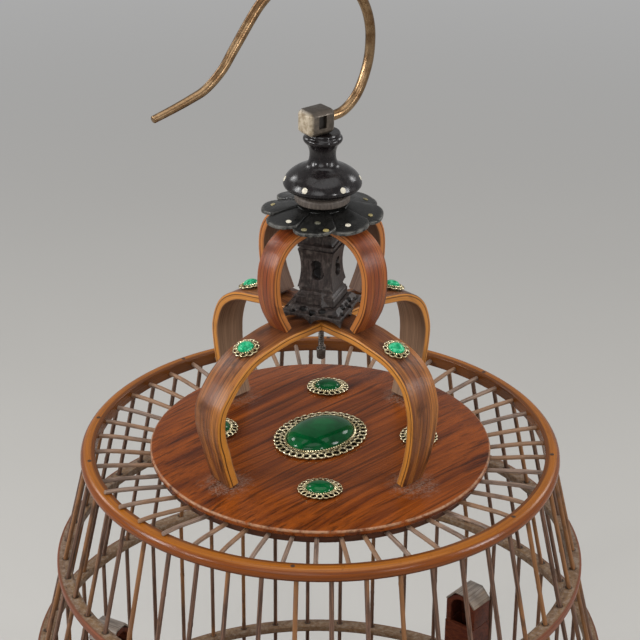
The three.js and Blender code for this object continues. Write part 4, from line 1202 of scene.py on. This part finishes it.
# Feeder hoods, door and perch
feeder = {"back": 154.485, "depth": 17, "half": 11, "sides": 16, "wall": 1.8, "rimInset": 2.2,
          "rimForward": 1.4, "archRise": 8.6, "archDrop": 5, "archSteps": 18,
          "slats": 3, "slat": 1.3, "gap": 0.35,
          "bars": {"feeder_left_hood": 30.5, "feeder_right_hood": 17.5}}  # between which bars each hangs
perch = {"radius": 5.3, "bar": 12, "sides": 28, "steps": 40, "prong": 1.75, "prongScale": 0.98,
         "prongSteps": 12, "wallGap": 1.6, "wear": 0.97}


def makeHood(name, azimuth):
    base, top = low(name), high(name)
    half, thick, back = feeder["half"], feeder["wall"], feeder["back"]
    front = back - feeder["depth"]
    shoulder = base + feeder["sides"]
    shape = newShape()
    for side in (-1, 1):
        inner, outer = sorted((side * half, side * (half - thick)))
        block(shape, (front + 0.6, inner, base), (back - 0.6, outer, shoulder - 0.4))
    block(shape, (back - thick - 0.4, -half + 1, base), (back - 0.8, half - 1, shoulder))
    softened(shape, 0.3)
    line, wide = front + feeder["rimForward"], half - feeder["rimInset"]
    arch = [Vector((line, -wide, base))]
    for i in range(feeder["archSteps"] + 1):
        angle = math.pi * i / feeder["archSteps"]
        rise = shoulder - feeder["archDrop"] + feeder["archRise"] * math.sin(angle)
        arch.append(Vector((line, -wide * math.cos(angle), rise)))
    arch.append(Vector((line, wide, base)))
    rim = newShape()
    corners = [(-1.5, -0.9, 0.3), (1.5, -0.9, 0.3), (1.5, 0.9, 0.3), (-1.5, 0.9, 0.3)]
    drawn(rim, flatFace(rim, rounded(corners, 2)), arch, (1, 0, 0))
    poured(shape, rim)
    rise = top - shoulder
    radius = (half * half + rise * rise) / (2 * rise)
    swing = math.asin(half / radius) / feeder["slats"]
    wide = radius * math.tan(swing) - feeder["gap"] / 2
    for i in range(feeder["slats"]):  # bent over the hood's arc
        slat = newShape()
        block(slat, (front, -wide, -feeder["slat"]), (back, wide, 0))
        softened(slat, 0.35)
        for vert in slat.verts:
            vert[slat.verts.layers.float_vector["laid"]] = (vert.co.y, vert.co.z, vert.co.x)
        tinted(slat, 0.1 + 0.35 * i)
        turn = Matrix.Rotation((i - (feeder["slats"] - 1) / 2) * 2 * swing, 4, "X")
        place = moved(0, 0, top - radius) @ turn @ moved(0, 0, radius * math.cos(swing) + 0.25)
        poured(shape, slat, place, slot=1)
    dressed(name.title().replace("_", ""), name, shape, "rosewood", "slats", place=facing(azimuth))


def makeDoor():
    base, top, radius, middle = low("door"), high("door"), wall["wallRadius"], door["middle"]
    shape = newShape()
    for i in range(door["bars"]):  # straight, because they slide up through hoop 3
        azimuth = middle + (i - (door["bars"] - 1) / 2) * pitch
        addCane(shape, azimuth, base + door["sag"], top, axis=lambda height: radius)
    wide, tall, steps = door["railWidth"] / 2, door["railHeight"] / 2, door["railSteps"]
    reach = math.degrees(math.asin(reachOf("door") / (radius + wide))) - middle
    points = []
    for i in range(steps + 1):
        azimuth = math.radians(middle - reach + 2 * reach * i / steps)
        points.append(Vector((radius * math.sin(azimuth), -radius * math.cos(azimuth), base + tall)))
    rail = newShape()
    corners = [(-wide, -tall, 0.8), (wide, -tall, 1.2), (wide, tall, 1.2), (-wide, tall, 0.8)]
    drawn(rail, flatFace(rail, rounded(corners, 3)), points, (0, 0, 1))
    softened(rail, 0.4, 2, 60)
    poured(shape, rail)
    dressed("liftingDoor", "door", shape, "slats", "bars")


def makePerch():
    azimuth = wall["turn"] + perch["bar"] * pitch
    reach = reachOf("perch") / math.sin(math.radians(180 - azimuth)) - 0.4
    inner = wall["wallRadius"] - wall["barRadius"] - perch["wallGap"]
    shape = newShape()

    def wear(i):
        grow = chance.uniform(perch["wear"], 1)
        return stretched(grow, grow)

    points = [Vector((between(-inner, inner, i / perch["steps"]), 0, 0)) for i in range(perch["steps"] + 1)]
    drawn(shape, roundFace(shape, perch["radius"], perch["sides"]), points, change=wear)
    first, radius = math.asin(perch["prong"] / perch["radius"]), perch["radius"] * perch["prongScale"]
    prong = newShape()
    steps = perch["prongSteps"]
    angles = [between(first, math.pi - first, i / steps) for i in range(steps + 1)]
    drawn(prong, flatFace(prong, [(radius * math.cos(angle), radius * math.sin(angle)) for angle in angles]),
          [Vector((inner - 0.4, 0, 0)), Vector((reach, 0, 0))])
    softened(prong, 0.5, 2, 60)
    poured(shape, prong, *[rotated(side) @ rotated(turn, "X") for side in (0, 180) for turn in (0, 180)])
    height = (low("perch") + high("perch")) / 2
    dressed("perch", "perch", shape, "perch", place=moved(0, 0, height) @ facing(azimuth))


for name, bar in feeder["bars"].items():
    makeHood(name, wall["turn"] + bar * pitch)
makeDoor()
makePerch()
print("feeders, door and perch made")

# Nodes that keep their shape and take a better finish
kept = {"rosewood": ("foot_right", "foot_left", "foot_back", "feeder_left_cup", "feeder_right_cup"),
        "boards": ("tray_runner_right", "tray_runner_left", "floor_grid"),
        "tray": ("tray",), "ebony": ("tray_pull",), "brass": ("door_knob",)}
for finish, nodes in kept.items():
    for node in nodes:
        for slot in frame["nodes"][node].material_slots:
            slot.material = looks[finish]
print("kept nodes finished")

# Floor, light and camera
studio = {"floorSize": 30, "floorTones": ("b9b7b3", "c0beba"), "fade": (500, 2200),
          "backdrop": (0.42, 0.42, 0.42, 1), "sky": (0.86, 0.85, 0.83, 1), "skyStrength": 0.22,
          "aim": (0, 0, 0.35)}
lamps = {"leftBox": ((-1.25, -0.25, 0.9), (0.3, 0.6), 10),  # place, size and power
         "rightBox": ((1.25, -0.3, 0.9), (0.3, 0.6), 8),
         "topBox": ((0.05, -0.12, 1.9), (1.7, 1.7), 11),
         "backLeftBox": ((-1.3, 1.0, 1.4), (0.5, 0.5), 6),
         "backRightBox": ((1.3, 1.1, 1.3), (0.5, 0.5), 5),
         "frontBox": ((-0.4, -1.7, 1.3), (1.2, 0.9), 8),
         "leftSpot": ((-1.1, -0.75, 0.8), (0.12, 0.2), 3.5),
         "rightSpot": ((0.75, -1.05, 0.8), (0.12, 0.2), 2.8)}
view = {"target": (-0.00072, 0, 0.3913), "elevation": 26.1, "roll": 0.46, "distance": 1.0845, "lens": 115.03,
        "sensor": 36, "nearest": 0.05}

floorLook = Look("paleFloor")
floorSpot = floorLook.place()
far = floorLook.ease(floorLook.vector("LENGTH", {0: floorSpot}, "Value"), *studio["fade"])
near = floorLook.blend(floorLook.noise(floorSpot, 0.002, 2), *studio["floorTones"])
floorLook.done(Base_Color=floorLook.blend(far, near, "000000"), Roughness=0.7, Specular_IOR_Level=0,
               Emission_Color=floorLook.blend(far, "000000", studio["backdrop"]), Emission_Strength=1)
floorShape = bmesh.new()
bmesh.ops.create_grid(floorShape, x_segments=1, y_segments=1, size=studio["floorSize"])
floorMesh = bpy.data.meshes.new("floor")
floorShape.to_mesh(floorMesh)
floorShape.free()
floorMesh.materials.append(floorLook.owner)
linked("floor", floorMesh)

sky = Look("studio", "worlds", "Background")
sky.done(Color=studio["sky"], Strength=studio["skyStrength"])
camera, glossy, through = sky.add("ShaderNodeLightPath", {}, {}, ("Is Camera Ray", "Is Glossy Ray",
                                                                  "Is Transmission Ray"))
seen = camera.math("MAXIMUM", camera.math("MAXIMUM", camera, glossy), through)
backdrop = sky.add("ShaderNodeBackground", {}, {"Color": studio["backdrop"]})
light = Socket(sky, sky.shader.outputs[0])
mixed = sky.add("ShaderNodeMixShader", {}, {0: seen, 1: light, 2: backdrop})
sky.fill(sky.tree.nodes["World Output"], {"Surface": mixed})
bpy.context.scene.world = sky.owner

for name, (spot, size, power) in lamps.items():
    lamp = bpy.data.lights.new(name, "AREA")
    lamp.shape = "ELLIPSE"
    lamp.size, lamp.size_y = size
    lamp.energy = power
    light = linked(name, lamp)
    light.location = spot
    light.rotation_euler = (Vector(studio["aim"]) - Vector(spot)).to_track_quat("-Z", "Y").to_euler()

lens = bpy.data.cameras.new("camera")
lens.lens, lens.sensor_width, lens.clip_start = view["lens"], view["sensor"], view["nearest"]
camera = linked("camera", lens)
rise = math.radians(view["elevation"])
camera.location = Vector(view["target"]) + Vector((0, -math.cos(rise), math.sin(rise))) * view["distance"]
camera.rotation_euler = (rotated(90 - view["elevation"], "X") @ rotated(view["roll"])).to_euler()
bpy.context.scene.camera = camera
bpy.context.scene.view_settings.view_transform = "Standard"
print("floor, light and camera made")
